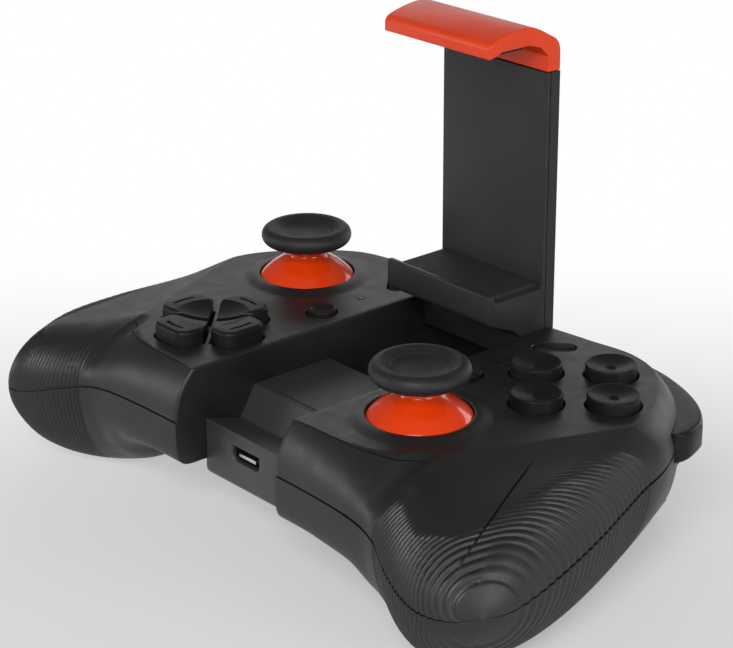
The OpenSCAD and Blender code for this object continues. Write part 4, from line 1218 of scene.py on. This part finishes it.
@dataclass
class DeckKeys:
    """The keys on the deck: direction keys, face buttons, menu buttons and oval keys."""

    deck: float = LOFT.deck
    pad: Pair = (-28.0, -32.7)
    pad_radius: float = 11.0
    pad_half: float = 4.9
    pad_gap: float = 1.6
    pad_high: float = 3.0
    pad_dip: float = 1.5
    pad_dish_radius: float = 7.2
    face: Pair = (37.75, -2.0)
    face_pitch: float = 9.57
    face_radius: float = 4.73
    face_high: float = 2.2
    menu: Pair = (20.4, -12.0)
    menu_radius: float = 2.8
    oval: Pair = (22.0, 9.0)
    oval_radius: float = 1.5
    oval_long: float = 7.6
    oval_turn: float = -45.0
    oval_high: float = 0.3
    small_high: float = 0.9
    light: Pair = (20.7, -1.8)
    light_radius: float = 0.7
    light_pitch: float = 2.4
    light_low: float = 15.7
    low: float = 21.0
    small_low: float = 20.6
    flange: Pair = (27.1, 28.1)
    edge: float = 0.3
    names: tuple[str, ...] = ("right", "up", "left", "down")
    winds: tuple[str, ...] = ("east", "north", "west", "south")

    def petal(self, grow: float) -> np.ndarray:
        """Outline of the right-hand direction key, about the middle of the four.

        Args:
            grow: Growth all round.

        Returns:
            The closed loop.
        """
        inner = self.pad_gap / math.sqrt(2) - grow * math.sqrt(2)
        half, reach, corner = self.pad_half + grow, self.pad_radius + grow, max(0.3, 2.2 + grow)
        bend = np.linspace(0, math.pi / 2, 8)
        arc = [(reach - corner + corner * math.cos(a) - 0.35 * math.sin(a), half - corner + corner * math.sin(a))
               for a in bend]
        bow = [(reach, t * (half - corner)) for t in (-0.6, -0.2, 0.2, 0.6)]
        return np.array([(inner, 0.0), (half + inner, -half), *[(x, -y) for x, y in arc[::-1]], *bow, *arc,
                         (half + inner, half)])

    def capsule(self, grow: float) -> np.ndarray:
        """Outline of an oval key about its own middle.

        Args:
            grow: Growth all round.

        Returns:
            The closed loop.
        """
        r, run = self.oval_radius + grow, self.oval_long / 2 - self.oval_radius
        over = arc(0, run, r, 0, 180, 17)
        return np.array(over + [(-x, -y) for x, y in over])

    def face_place(self, k: int) -> Pair:
        """Where the face button k quarter turns round from the east stands."""
        turn = math.pi / 2 * k
        return (self.face[0] + self.face_pitch * math.cos(turn), self.face[1] + self.face_pitch * math.sin(turn))

    def light_places(self, side: Side) -> list[Point]:
        """Where a side's lights stand: one on the left and three on the right."""
        rows = (0,) if side is Side.LEFT else (-1, 0, 1)
        return [(side.value * self.light[0], self.light[1] + k * self.light_pitch) for k in rows]

    def holes(self, shells: Shells, side: Side) -> list[Solid]:
        """The openings that a side's keys need in the deck.

        Args:
            shells: The shells, which know the gap round a key.
            side: The side.

        Returns:
            The solids to cut.
        """
        z, r, levels = self.deck, self.light_radius + 0.02, shells.bevelled()
        rod = Solid.turned(((0, z - 5), (r, z - 5), (r, z + 1), (0, z + 1)), 32)
        cuts = [shells.button_hole(self.menu_radius).moved(side.value * self.menu[0], self.menu[1]),
                Solid.lifted(self.capsule, levels).swung(self.oval_turn).moved(*self.oval).on(side),
                *(rod.moved(*at) for at in self.light_places(side))]
        for k in range(4):
            if side is Side.LEFT:
                cuts.append(Solid.lifted(self.petal, levels).swung(90 * k).moved(*self.pad))
            else:
                cuts.append(shells.button_hole(self.face_radius).moved(*self.face_place(k)))
        return cuts

    def pad_key(self) -> Solid:
        """A direction key: straight sides, a soft edge and the flange that holds it in.

        Returns:
            The right-hand key, about the middle of the four.
        """
        key = Solid.lifted(self.petal, rounded(self.low, self.deck + self.pad_high, 0.75, steps=6))
        flange = Solid.lifted(self.petal, [(0.5, z) for z in self.flange])
        return key.plus(flange)

    def pad_dish(self) -> Solid:
        """The round dish that the four direction keys share.

        Returns:
            The solid to cut, about the middle of the four.
        """
        z, deep, wide = self.deck + self.pad_high, self.pad_dip, self.pad_dish_radius
        bowl = [(r, z - deep + deep * (r / wide) ** 2) for r in np.linspace(0, wide * 1.1, 16)]
        return Solid.turned([*bowl, (wide * 1.1, z + 3), (0, z + 3)], 128)

    def pad_mark(self) -> Solid:
        """The short engraved arc near a direction key's outer end.

        Returns:
            The solid to cut from the right-hand key.
        """
        turn = np.radians(np.linspace(-13, 13, 15))
        r = self.pad_radius - 2.0
        path = np.array([(r * math.cos(a), r * math.sin(a) * 1.2, self.deck + self.pad_high - 0.1) for a in turn])
        return Solid.tube(path, np.full(len(path), 0.36))

    def button(self, r: float, low: float, z: float, lip: float, steps: int) -> list[Point]:
        """The (radius, height) profile of a round button up to its top.

        Args:
            r: Radius of the button.
            low: Height of its foot.
            z: Height of its top.
            lip: How far its flange stands out.
            steps: Points round its soft edge.

        Returns:
            The profile from the axis out and up.
        """
        (under, over), e = self.flange, self.edge
        skirt = [(0, low), (r, low), (r, under), (r + lip, under), (r + lip, over), (r, over)]
        return skirt + arc(r - e, z - e, e, 0, 90, steps)

    def face_button(self) -> Solid:
        """A face button: a dished top with a soft edge and a small dimple.

        Returns:
            The solid about its own axis.
        """
        r, z = self.face_radius, self.deck + self.face_high
        crown = [(r * t, z - 1.0 * (1 - (t / 0.93) ** 2)) for t in (0.92, 0.84, 0.74, 0.62, 0.5, 0.38, 0.27)]
        dimple = [(0.95, z - 0.96), (0.8, z - 1.06), (0.6, z - 1.22), (0.3, z - 1.3)]
        return Solid.turned([*self.button(r, self.low, z, 0.9, 7), *crown, *dimple, (0, z - 1.32)], 96)

    def menu_button(self) -> Solid:
        """A round menu button with a raised rim and a dish.

        Returns:
            The solid about its own axis.
        """
        r, z = self.menu_radius, self.deck + self.small_high
        dish = [(r - 0.6, z - 0.05), (r - 0.85, z - 0.25), (r - 1.3, z - 0.38), (0.6, z - 0.42)]
        return Solid.turned([*self.button(r, self.small_low, z, 0.6, 6), *dish, (0, z - 0.42)], 64)

    def oval_key(self) -> Solid:
        """An oval key with a rounded top.

        Returns:
            The solid about its own middle, turned as the right-hand one is.
        """
        z = self.deck + self.oval_high
        flange = Solid.lifted(self.capsule, [(0.6, height) for height in self.flange])
        return Solid.lifted(self.capsule, rounded(self.small_low, z, 0.55)).plus(flange).swung(self.oval_turn)

    def build(self) -> None:
        """Builds every key of the deck and the light pipes."""
        for k, name in enumerate(self.names):
            key = self.pad_key().swung(90 * k).moved(*self.pad).piece(f"key_{name}")
            combine(key, "DIFFERENCE", self.pad_dish().moved(*self.pad), self.pad_mark().swung(90 * k).moved(*self.pad))
            soften(key, 0.12, 2, 20.0, lambda p: p.z > (self.deck + 1.4) * MM)
            dress(key, KEYS, f"pad_{name}_key", "key_plastic", f"pad_{name}", sharp=20)
        for k, name in enumerate(self.winds):
            button = self.face_button().moved(*self.face_place(k)).piece(f"button_{name}")
            dress(button, KEYS, f"{name}_button", "key_plastic", f"face_{name}")
        for side in Side:
            word, sign = side.word, side.value
            menu = self.menu_button().moved(sign * self.menu[0], self.menu[1]).piece(f"menu_button_{word}")
            dress(menu, KEYS, f"{word}_menu_button", "key_plastic", f"menu_{word}")
            oval = self.oval_key().moved(*self.oval).on(side).piece(f"oval_key_{word}")
            dress(oval, MATT, f"{word}_oval_key", "key_plastic", f"oval_{word}")
        self.build_lights()
        keep(PADS, "pad_membrane", "face_membrane")
        keep(INNER, "menu_switches")

    def build_lights(self) -> None:
        """Builds the light pipes with their domed ends."""
        r, z, low = self.light_radius, self.deck, self.light_low
        end = ((r, z - 0.1), (r - 0.15, z + 0.03), (r - 0.4, z + 0.09), (0, z + 0.1))
        rod = Solid.turned(((0, low), (r, low), *end), 32)
        left, *right = (rod.moved(*at) for side in Side for at in self.light_places(side))
        dress(left.plus(*right).piece("light_rods"), LIGHT, "case", "light", "light_pipes")


@dataclass
class Shoulders:
    """The bumpers along the back and the triggers under them."""

    shells: Shells
    low: float = 20.4
    high: float = 5.7
    out: float = 3.9
    press: Pair = (-0.42, -0.907524)
    inside: float = 2.4
    travel: float = 1.2
    gap: float = 0.25
    start: float = 0.4
    end: float = 3.7
    trigger_x: float = 23.0
    trigger_wide: float = 19.0
    trigger_y: float = 14.4
    trigger_z: float = 14.6
    trigger_round: float = 0.8
    foot_round: float = 0.8
    tip_z: float = 1.8
    pin_bore: float = 1.05
    spring_x: Pair = (29.2, 35.8)
    spring_room: float = 2.65

    def section(self, share: float) -> list[Point]:
        """A bumper's (offset, height) section with a share of its full overhang.

        Args:
            share: The share.

        Returns:
            The points of the section.
        """
        o, h, r = self.out * share, self.high, self.foot_round
        foot = [(o - r * share + r * share * math.sin(a), r - r * math.cos(a))
                for a in np.linspace(0, math.pi / 2, 6)]
        crown = spline(((o, 0.72 * h), (o - 0.12 * share, 0.83 * h), (o - 0.5 * share, 0.91 * h),
                        (o - 1.2 * share, 0.945 * h), (o / 3, 0.97 * h), (-0.6, 0.985 * h), (-self.inside, h)), 4)
        return [(-self.inside, 0.0), *foot, *crown]

    def swept(self, grow: float, deeper: float) -> Solid:
        """A bumper's form along the back parting line.

        Args:
            grow: Growth all round.
            deeper: Further growth towards the inside.

        Returns:
            The right-hand form.
        """
        t = np.concatenate([[0.0, 0.006, 0.016, 0.032, 0.055], np.linspace(0.08, 0.92, 60),
                            [0.945, 0.968, 0.984, 0.994, 1.0]])
        s = self.start + (self.end - self.start) * t
        first, last = np.minimum(1, (s - self.start) / 0.4), np.minimum(1, (self.end - s) / 0.4)
        round_end = np.sqrt(np.clip(1 - (1 - np.minimum(1, np.minimum(t, 1 - t) / 0.05)) ** 2, 0, 1))
        share = (0.6 + 0.4 * first) * (0.45 + 0.55 * last) * np.maximum(round_end, 0.04)
        points, normals = self.shells.back_line(s)
        along = np.stack([normals[:, 1], -normals[:, 0]], -1)
        loops, ends = [], {0: -1, len(s) - 1: 1}
        for i, (p, n) in enumerate(zip(points, normals)):
            edge = along[i] * grow * ends.get(i, 0)
            loop = []
            for offset, height in self.section(float(share[i])):
                more = -grow - deeper if offset <= -self.inside else grow
                z = self.low + height + grow * (1 if height > self.high / 2 else -1)
                loop.append((*(p + edge + n * (offset + more)), z))
            loops.append(loop)
        return Solid.stack(np.array(loops))

    def slot(self) -> list[Solid]:
        """The room in which the right-hand bumper moves, from its rest to its full press."""
        way = np.array(self.press) * self.travel
        return [self.swept(self.gap, self.travel).moved(*(way * k)) for k in (0.0, 0.5, 1.0)]

    def trigger_profile(self) -> list[Point]:
        """The (y, z) profile of a trigger, a smooth closed curve.

        Returns:
            The points of the curve.
        """
        y, z, tip = self.trigger_y, self.trigger_z, self.tip_z
        return spline(((y - 1, z + 2.2), (y + 4, z + 4.3), (y + 8.8, z + 3.2), (y + 10.2, z + 0.4), (y + 10.1, z - 4),
                       (y + 7.4, z - 6.6), (y + 5.6, z - 8.4), (y + 5.3, tip + 2.2), (y + 5.7, tip + 0.8),
                       (y + 4.6, tip), (y + 3.4, tip + 0.8), (y + 2.8, z - 8.2), (y + 2.4, z - 4.6),
                       (y - 1.4, z - 1.8)), 8, True)

    def trigger(self) -> Solid:
        """The right-hand trigger with rounded ends.

        Returns:
            The solid in its place.
        """
        profile = np.array(self.trigger_profile())
        along = np.roll(profile, -1, 0) - np.roll(profile, 1, 0)
        normal = unit(np.stack([along[:, 1], -along[:, 0]], -1))
        normal *= np.sign(np.sum(normal * (profile - profile.mean(axis=0))))
        loops, radius = [], self.trigger_round
        for x0, sign in ((self.trigger_x, 1), (self.trigger_x + self.trigger_wide, -1)):
            ring = []
            for k in range(6):
                a = math.pi / 2 * k / 5
                inset = profile - normal * radius * (1 - math.sin(a))
                ring.append([(x0 + sign * radius * (1 - math.cos(a)), y, z) for y, z in inset])
            loops += ring if sign > 0 else ring[::-1]
        return Solid.stack(np.array(loops))

    def build(self) -> None:
        """Builds the bumpers and triggers, and dresses what holds them."""
        r, y, z, room = self.pin_bore, self.trigger_y, self.trigger_z, self.spring_room
        bore = Solid.turned(((0, 0), (r, 0), (r, 60), (0, 60)), 32).swung(90, "Y").moved(0, y, z)
        notch = Solid.box((self.spring_x[0], y - 8, z - room), (self.spring_x[1], y + room, z + 9.3))
        for side in Side:
            bumper = self.swept(0.0, 0.0).on(side).piece(f"shoulder_{side.word}")
            dress(bumper, GLOSS, f"{side.word}_bumper", "gloss_black", f"bumper_{side.word}")
            trigger = self.trigger().on(side).piece(f"pull_{side.word}")
            combine(trigger, "DIFFERENCE", bore.on(side), notch.on(side))
            dress(trigger, GLOSS, f"{side.word}_trigger", "gloss_black", f"trigger_{side.word}")
            keep(BELLY, f"trigger_housing_{side.word}")
        keep(STEEL, "trigger_pins", "trigger_springs")


@dataclass
class Clamp:
    """The flip-up phone clamp: an arm with a jaw, a sliding plate and a sprung hook on top."""

    half: float = 14.0
    hinge_y: float = 13.9
    hinge_z: float = 25.7
    barrel: float = 3.0
    pin: float = 1.2
    arm_front: float = 13.65
    arm_back: float = 16.75
    arm_top: float = 80.5
    slot_front: float = 14.5
    jaw_reach: float = 14.6
    jaw_high: float = 14.7
    hook_reach: float = 15.2
    hook_high: float = 9.5
    pad: float = 0.9
    lip: float = 0.9
    chamfer: float = 0.3

    def arm_profile(self) -> list[Point]:
        """The (y, z) profile of the arm's front plate and jaw.

        Returns:
            The points of the profile.
        """
        y, z = self.hinge_y, self.hinge_z
        jaw, top = y - self.jaw_reach, z + self.jaw_high
        seat = top - self.lip - self.pad
        return [(self.arm_front, z), (y - 4.6, z - 1.6), (y - 5.6, z + 4.2), (y - 7.6, z + 6), (jaw + 0.4, z + 8.8),
                (jaw, z + 9.6), (jaw, top), (jaw + 1.2, top), (jaw + 2.2, seat), (self.arm_front, seat),
                (self.arm_front, self.arm_top), (self.slot_front, self.arm_top), (self.slot_front, z)]

    def hook_profile(self) -> list[Point]:
        """The (y, z) profile of the hook: a rounded back, a long low crown and a blunt nose.

        Returns:
            The points of the profile.
        """
        back, front, top = self.arm_back, self.arm_front, self.arm_top
        tip, high = self.hinge_y - self.hook_reach, self.arm_top + self.hook_high
        crown = spline(((back, top + 3.4), (back - 0.25, top + 4.9), (back - 1.1, top + 6.1), (back - 2.6, top + 7.0),
                        (back - 6.4, high - 0.55), (back - 9.6, high), (back - 13, high - 0.35),
                        (tip + 1.9, high - 1.1), (tip + 0.55, high - 1.7), (tip, high - 2.5)), 5)
        return [(front, top + 0.15), (back, top + 0.15), *crown, (tip, top + 5.1), (tip + 2.2, top + 5.5),
                (tip + 3.2, top + 6), (front - 5, top + 6), (front - 2, top + 5.1), (front, top + 3.2)]

    def rod(self, radius: float, far: float, chamfer: float = 0.0) -> Solid:
        """A rod on the hinge's axis.

        Args:
            radius: Radius of the rod.
            far: How far it reaches to each side.
            chamfer: How much narrower both ends are.

        Returns:
            The rod in its place.
        """
        near = far - self.chamfer
        path = np.array([(x, self.hinge_y, self.hinge_z) for x in (-far, -near, near, far)])
        return Solid.tube(path, np.array((radius - chamfer, radius, radius, radius - chamfer)), 48)

    def build(self) -> None:
        """Builds the clamp's pieces on its two bodies."""
        arm = Solid.drawn(self.arm_profile(), -self.half, self.half).piece("arm")
        soften(arm, 0.35)
        combine(arm, "UNION", self.rod(self.barrel, self.half, self.chamfer))
        combine(arm, "DIFFERENCE", self.rod(self.pin + 0.02, self.half + 1))
        dress(arm, CLAMP, "clamp", "clamp_plastic", "clamp_arm")
        hook = Solid.drawn(self.hook_profile(), -self.half, self.half).piece("hook")
        soften(hook, 0.5, 4, 24.0)
        dress(hook, HOOK, "clamp_top", "orange", "clamp_hook")
        keep(CLAMP, "clamp_back")
        keep(PADS, "clamp_jaw_pad", "clamp_hook_pad")
        keep(INNER, "clamp_slider")
        keep(STEEL, "hinge_pin")


@dataclass
class Fittings:
    """The tray between the shells, the battery cover, the charging socket and the screws."""

    loft: BodyLoft = LOFT
    thick: float = 1.6
    panel_y: float = -45.0
    panel_low: float = 8.2
    panel_bend: float = 1.8
    panel_high: float = 19.85
    foot: float = -33.6
    ledge: Pair = (-37.05, 17.5)
    step: Pair = (-33.45, 23.45)
    pit: Pair = (-15.0, 10.4)
    pit_back: float = 17.3
    socket: Triple = (-2.9, -45.0, 15.5)
    socket_size: Triple = (7.5, 5.6, 2.8)
    cover_size: Triple = (50.0, 24.0, 1.4)
    cover_corner: float = 2.2
    cover_screw: float = 22.0
    head: float = 2.0
    head_high: float = 0.65
    cross: Triple = (1.15, 0.22, 0.45)

    def tray(self) -> None:
        """Builds the tray: its front panel, the ledge, the raised floor and the pit under the clamp."""
        t, y = self.thick, self.panel_y
        (ly, lz), (sy, sz), (py, pz) = self.ledge, self.step, self.pit
        low, r, high, end = self.panel_low, self.panel_bend, self.panel_high, self.pit_back
        bend = arc(y + r, low + r, r, 270, 180, 7)
        profile = [(self.foot, low), *bend, (y, high), (ly, lz), (sy, sz), (py, sz), (py, pz), (end, pz),
                   (end, pz - t), (py - t, pz - t), (py - t, sz - t), (sy + 0.6 * t, sz - t),
                   (ly + 0.5 * t, lz - t), (y + t, high - t), (y + t, low + t), (self.foot, low + t)]
        wide = self.loft.channel + 0.5
        tray = Solid.drawn(profile, -wide, wide).piece("tray")
        combine(tray, "DIFFERENCE", self.port(0.12, -1.0, 3.0))
        soften(tray, 0.35, 3, 20.0)
        combine(tray, "DIFFERENCE", Solid.box((-wide - 1, sy + 0.5, sz - 0.4), (wide + 1, sy + 1.0, sz + 1)))
        dress(tray, TRAY, "case", "tray_plastic", "channel_tray")

    def port(self, grow: float, start: float, end: float) -> Solid:
        """The charging port's flat shape with its two bevelled lower corners.

        Args:
            grow: Growth all round.
            start: Where it starts, behind the panel's face.
            end: Where it ends.

        Returns:
            The solid in its place.
        """
        x, y, z = self.socket
        w, h = self.socket_size[0] / 2 + grow, self.socket_size[2] / 2 + grow
        ring = [(-w, h), (w, h), (w, 0.1 - h / 2), (w - 0.9, -h), (0.9 - w, -h), (-w, 0.1 - h / 2)]
        return Solid.stack(np.array([[(x + a, y + d, z + b) for a, b in ring] for d in (start, end)]))

    def port_parts(self) -> None:
        """Builds the socket's sunk sleeve and the bright tongue inside it."""
        (x, y, z), deep, w = self.socket, self.socket_size[1], self.socket_size[0] / 2 - 1.3
        sleeve = self.port(0.0, 0.7, deep).piece("socket_sleeve")
        combine(sleeve, "DIFFERENCE", self.port(-0.35, 0.2, deep - 0.5))
        dress(sleeve, MATT, "case", "steel", "charging_socket")
        tongue = Solid.box((x - w, y + 0.5, z - 0.45), (x + w, y + deep - 0.4, z + 0.25)).piece("socket_tongue")
        soften(tongue, 0.12, 2)
        dress(tongue, STEEL, "case", "steel")

    def cover(self) -> None:
        """Builds the battery cover with its rounded corners and sunk screw holes."""
        w, d, h = self.cover_size
        c, r = self.cover_corner, self.head
        x, y = w / 2 - c, d / 2 - c

        def outline(grow: float) -> np.ndarray:
            """The cover's outline with an amount of growth."""
            corners = ((x, y, 0), (-x, y, 90), (-x, -y, 180), (x, -y, 270))
            return np.array([p for a, b, turn in corners for p in arc(a, b, c + grow, turn, turn + 90, 7)])

        levels = ((-0.5, 0.0), (-0.22, 0.08), (-0.07, 0.22), (0.0, 0.5), (0.0, h))
        cover = Solid.lifted(outline, levels).piece("cover")
        hole = Solid.turned(((0, -1), (r + 0.35, -1), (r + 0.1, 0.25), (r + 0.1, 0.75), (1.2, 0.75), (1.2, 3),
                             (0, 3)), 40)
        combine(cover, "DIFFERENCE", hole.moved(-self.cover_screw), hole.moved(self.cover_screw))
        dress(cover, BELLY, "case", "shell_plastic", "battery_cover")

    def screw(self, long: float) -> Solid:
        """A screw with a domed head that looks down, about its head's lowest point.

        Args:
            long: The screw's whole length.

        Returns:
            The solid at the origin.
        """
        r, head = self.head, self.head_high
        return Solid.turned(((0, 0), (r * 0.55, 0.02), (r * 0.85, 0.14), (r, 0.4), (r, head), (1.1, head), (1.1, long),
                             (0, long)), 40)

    def bolts(self) -> None:
        """Builds the cover's two screws with their cross slots."""
        low, high = (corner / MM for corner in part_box("cover_screws"))
        one = self.screw(high.z - low.z).moved(self.cover_screw, 0.0, low.z)
        piece = one.plus(one.mirrored()).piece("cover_bolts")
        long, wide, deep = self.cross
        for x in (-self.cover_screw, self.cover_screw):
            for a, b in ((long, wide), (wide, long)):
                combine(piece, "DIFFERENCE", Solid.box((-a, -b, -1), (a, b, deep)).moved(x, 0.0, low.z))
        dress(piece, STEEL, "case", "steel", "cover_screws")

    def build(self) -> None:
        """Builds the fittings and dresses what lies inside."""
        self.tray()
        self.port_parts()
        self.cover()
        self.bolts()
        keep(STEEL, "case_screws")
        keep(BOARD, "main_board")
        keep(CELL, "battery")


@dataclass(frozen=True)
class Lamp:
    """A soft rectangular lamp: its place and size in metres and its power in watts."""

    name: str
    at: Triple
    size: Pair
    power: float

    def build(self, target: Vector) -> None:
        """Sets the lamp so that it looks at a target.

        Args:
            target: The place it looks at.
        """
        light = bpy.data.lights.new(self.name, "AREA")
        light.shape = "RECTANGLE"
        light.size, light.size_y = self.size
        light.energy = self.power
        lamp = bpy.data.objects.new(self.name, light)
        lamp.location = self.at
        lamp.rotation_euler = (target - Vector(self.at)).to_track_quat("-Z", "Y").to_euler()
        bpy.context.scene.collection.objects.link(lamp)


LAMPS = (
    Lamp("key", (-0.66, -0.81, 0.33), (0.42, 0.32), 2.4),
    Lamp("above_camera", (0.52, -0.70, 0.62), (0.5, 0.5), 7.0),
    Lamp("back", (-0.75, 0.72, 0.44), (0.9, 0.5), 1.4),
    Lamp("side", (1.10, 0.05, 0.26), (0.45, 0.35), 3.8),
    Lamp("behind", (0.05, 1.05, 0.29), (0.45, 0.4), 1.5),
)


@dataclass
class Studio:
    """The pale floor, the soft lights and the camera."""

    place: Triple = (0.291731, -0.271541, 0.193327)
    azimuth: float = 48.9001
    elevation: float = 21.9444
    roll: float = -0.195
    focal: float = 2259.129
    middle: Pair = (371.076, 314.135)
    image: tuple[int, int] = (733, 648)
    sensor: float = 36.0
    target: Triple = (0.0, -0.015, 0.03)
    world_light: float = 0.16
    floor_reach: float = 4000.0
    floor_wall: float = 150.0

    def camera(self) -> None:
        """Sets the camera at the picture's viewing angle."""
        a, e, r = (math.radians(d) for d in (self.azimuth, self.elevation, self.roll))
        back = Vector((math.sin(a) * math.cos(e), -math.cos(a) * math.cos(e), math.sin(e)))
        right = Vector((math.cos(a), math.sin(a), 0.0))
        up = back.cross(right)
        across = math.cos(r) * right + math.sin(r) * up
        above = -math.sin(r) * right + math.cos(r) * up
        lens = bpy.data.cameras.new("camera")
        lens.sensor_fit = "HORIZONTAL"
        lens.sensor_width = self.sensor
        wide, high = self.image
        lens.lens = self.focal * self.sensor / wide
        lens.shift_x = -(self.middle[0] - wide / 2) / wide
        lens.shift_y = (self.middle[1] - high / 2) / wide
        lens.clip_start = 0.01
        camera = bpy.data.objects.new("camera", lens)
        turn = Matrix((across, above, back)).transposed().to_4x4()
        camera.matrix_world = Matrix.Translation(self.place) @ turn
        bpy.context.scene.collection.objects.link(camera)
        bpy.context.scene.camera = camera

    def seen(self, tree: bpy.types.NodeTree) -> bpy.types.NodeSocket:
        """1 for rays that show the backdrop: from the camera, off gloss or through glass.

        Args:
            tree: The nodes that ask.

        Returns:
            The socket with the answer.
        """
        path = add(tree, "LightPath")
        camera, gloss, glass = (path.outputs[f"Is {kind} Ray"] for kind in ("Camera", "Glossy", "Transmission"))
        return reckon(tree, "MAXIMUM", reckon(tree, "MAXIMUM", camera, gloss), glass)

    def backdrop(self) -> None:
        """A plain world that gives a low, even light."""
        world = bpy.data.worlds.new("backdrop")
        bpy.context.scene.world = world
        world.use_nodes = True
        plain = world.node_tree.nodes["Background"]
        plain.inputs["Color"].default_value = (1.0, 1.0, 1.0, 1.0)
        plain.inputs["Strength"].default_value = self.world_light

    def fade(self, tree: bpy.types.NodeTree, measure: str, span: Pair, least: float,
             way: Triple = (0.0, 0.0, 0.0)) -> bpy.types.NodeSocket:
        """How far the floor has run out to white.

        Args:
            tree: The floor's nodes.
            measure: What is measured of a place, as the vector node names it.
            span: Where the change to white starts and ends, in metres.
            least: How white the floor is at the start.
            way: The direction along which a dot product measures.

        Returns:
            The socket with the share of white.
        """
        place, far = add(tree, "TexCoord"), add(tree, "VectorMath")
        far.operation = measure
        far.inputs[1].default_value = way
        tree.links.new(place.outputs["Object"], far.inputs[0])
        fade = add(tree, "MapRange", From_Min=span[0], From_Max=span[1], To_Min=least)
        fade.interpolation_type = "SMOOTHSTEP"
        tree.links.new(far.outputs["Value"], fade.inputs["Value"])
        return fade.outputs["Result"]

    def floor(self) -> None:
        """A pale floor with a low wall, which keeps the shadow near the controller and runs out to white."""
        far, wall, low = self.floor_reach, self.floor_wall, -0.02
        pan = ((0, -20), (far + 20, -20), (far + 20, wall), (far, wall), (far, low), (1500, low), (600, low), (0, low))
        disc = Solid.turned(pan, 96).piece("floor")
        material = bpy.data.materials.new("pale_floor")
        material.use_nodes = True
        tree = material.node_tree
        link = tree.links.new
        shader = tree.nodes["Principled BSDF"]
        shader.inputs["Roughness"].default_value = 0.55
        shader.inputs["Specular IOR Level"].default_value = 0.25
        place, noise, tint = add(tree, "TexCoord"), add(tree, "TexNoise", Scale=30.0), add(tree, "ValToRGB")
        for stop, colour in zip(tint.color_ramp.elements, ((0.74, 0.74, 0.745, 1.0), (0.76, 0.76, 0.765, 1.0))):
            stop.color = colour
        link(place.outputs["Object"], noise.inputs["Vector"])
        link(noise.outputs["Fac"], tint.inputs["Fac"])
        link(tint.outputs["Color"], shader.inputs["Base Color"])
        turn = math.radians(self.azimuth)
        behind = self.fade(tree, "DOT_PRODUCT", (-0.04, 0.13), 0.35, (-math.sin(turn), math.cos(turn), 0.0))
        away = self.fade(tree, "LENGTH", (0.25, 0.7), 0.0)
        share = reckon(tree, "MULTIPLY", reckon(tree, "MAXIMUM", behind, away), self.seen(tree))
        white, mix = add(tree, "Emission", Color=(1.0, 1.0, 1.0, 1.0)), add(tree, "MixShader")
        link(share, mix.inputs["Fac"])
        link(shader.outputs["BSDF"], mix.inputs[1])
        link(white.outputs["Emission"], mix.inputs[2])
        link(mix.outputs["Shader"], tree.nodes["Material Output"].inputs["Surface"])
        disc.data.materials.append(material)

    def build(self) -> None:
        """Sets the camera, the backdrop, the floor and the lamps."""
        bpy.context.scene.view_settings.view_transform = "Standard"
        self.camera()
        self.backdrop()
        self.floor()
        for lamp in LAMPS:
            lamp.build(Vector(self.target))


def main() -> None:
    """Builds the studio and every sub-assembly."""
    logging.basicConfig(level=logging.INFO, format="%(name)s %(message)s")
    Studio().build()
    sticks, keys, shells = Sticks(), DeckKeys(), Shells()
    shoulders = Shoulders(shells)
    shells.build(keys, sticks, shoulders.slot())
    sticks.build()
    keys.build()
    shoulders.build()
    Clamp().build()
    Fittings().build()


if __name__ == "__main__":
    main()
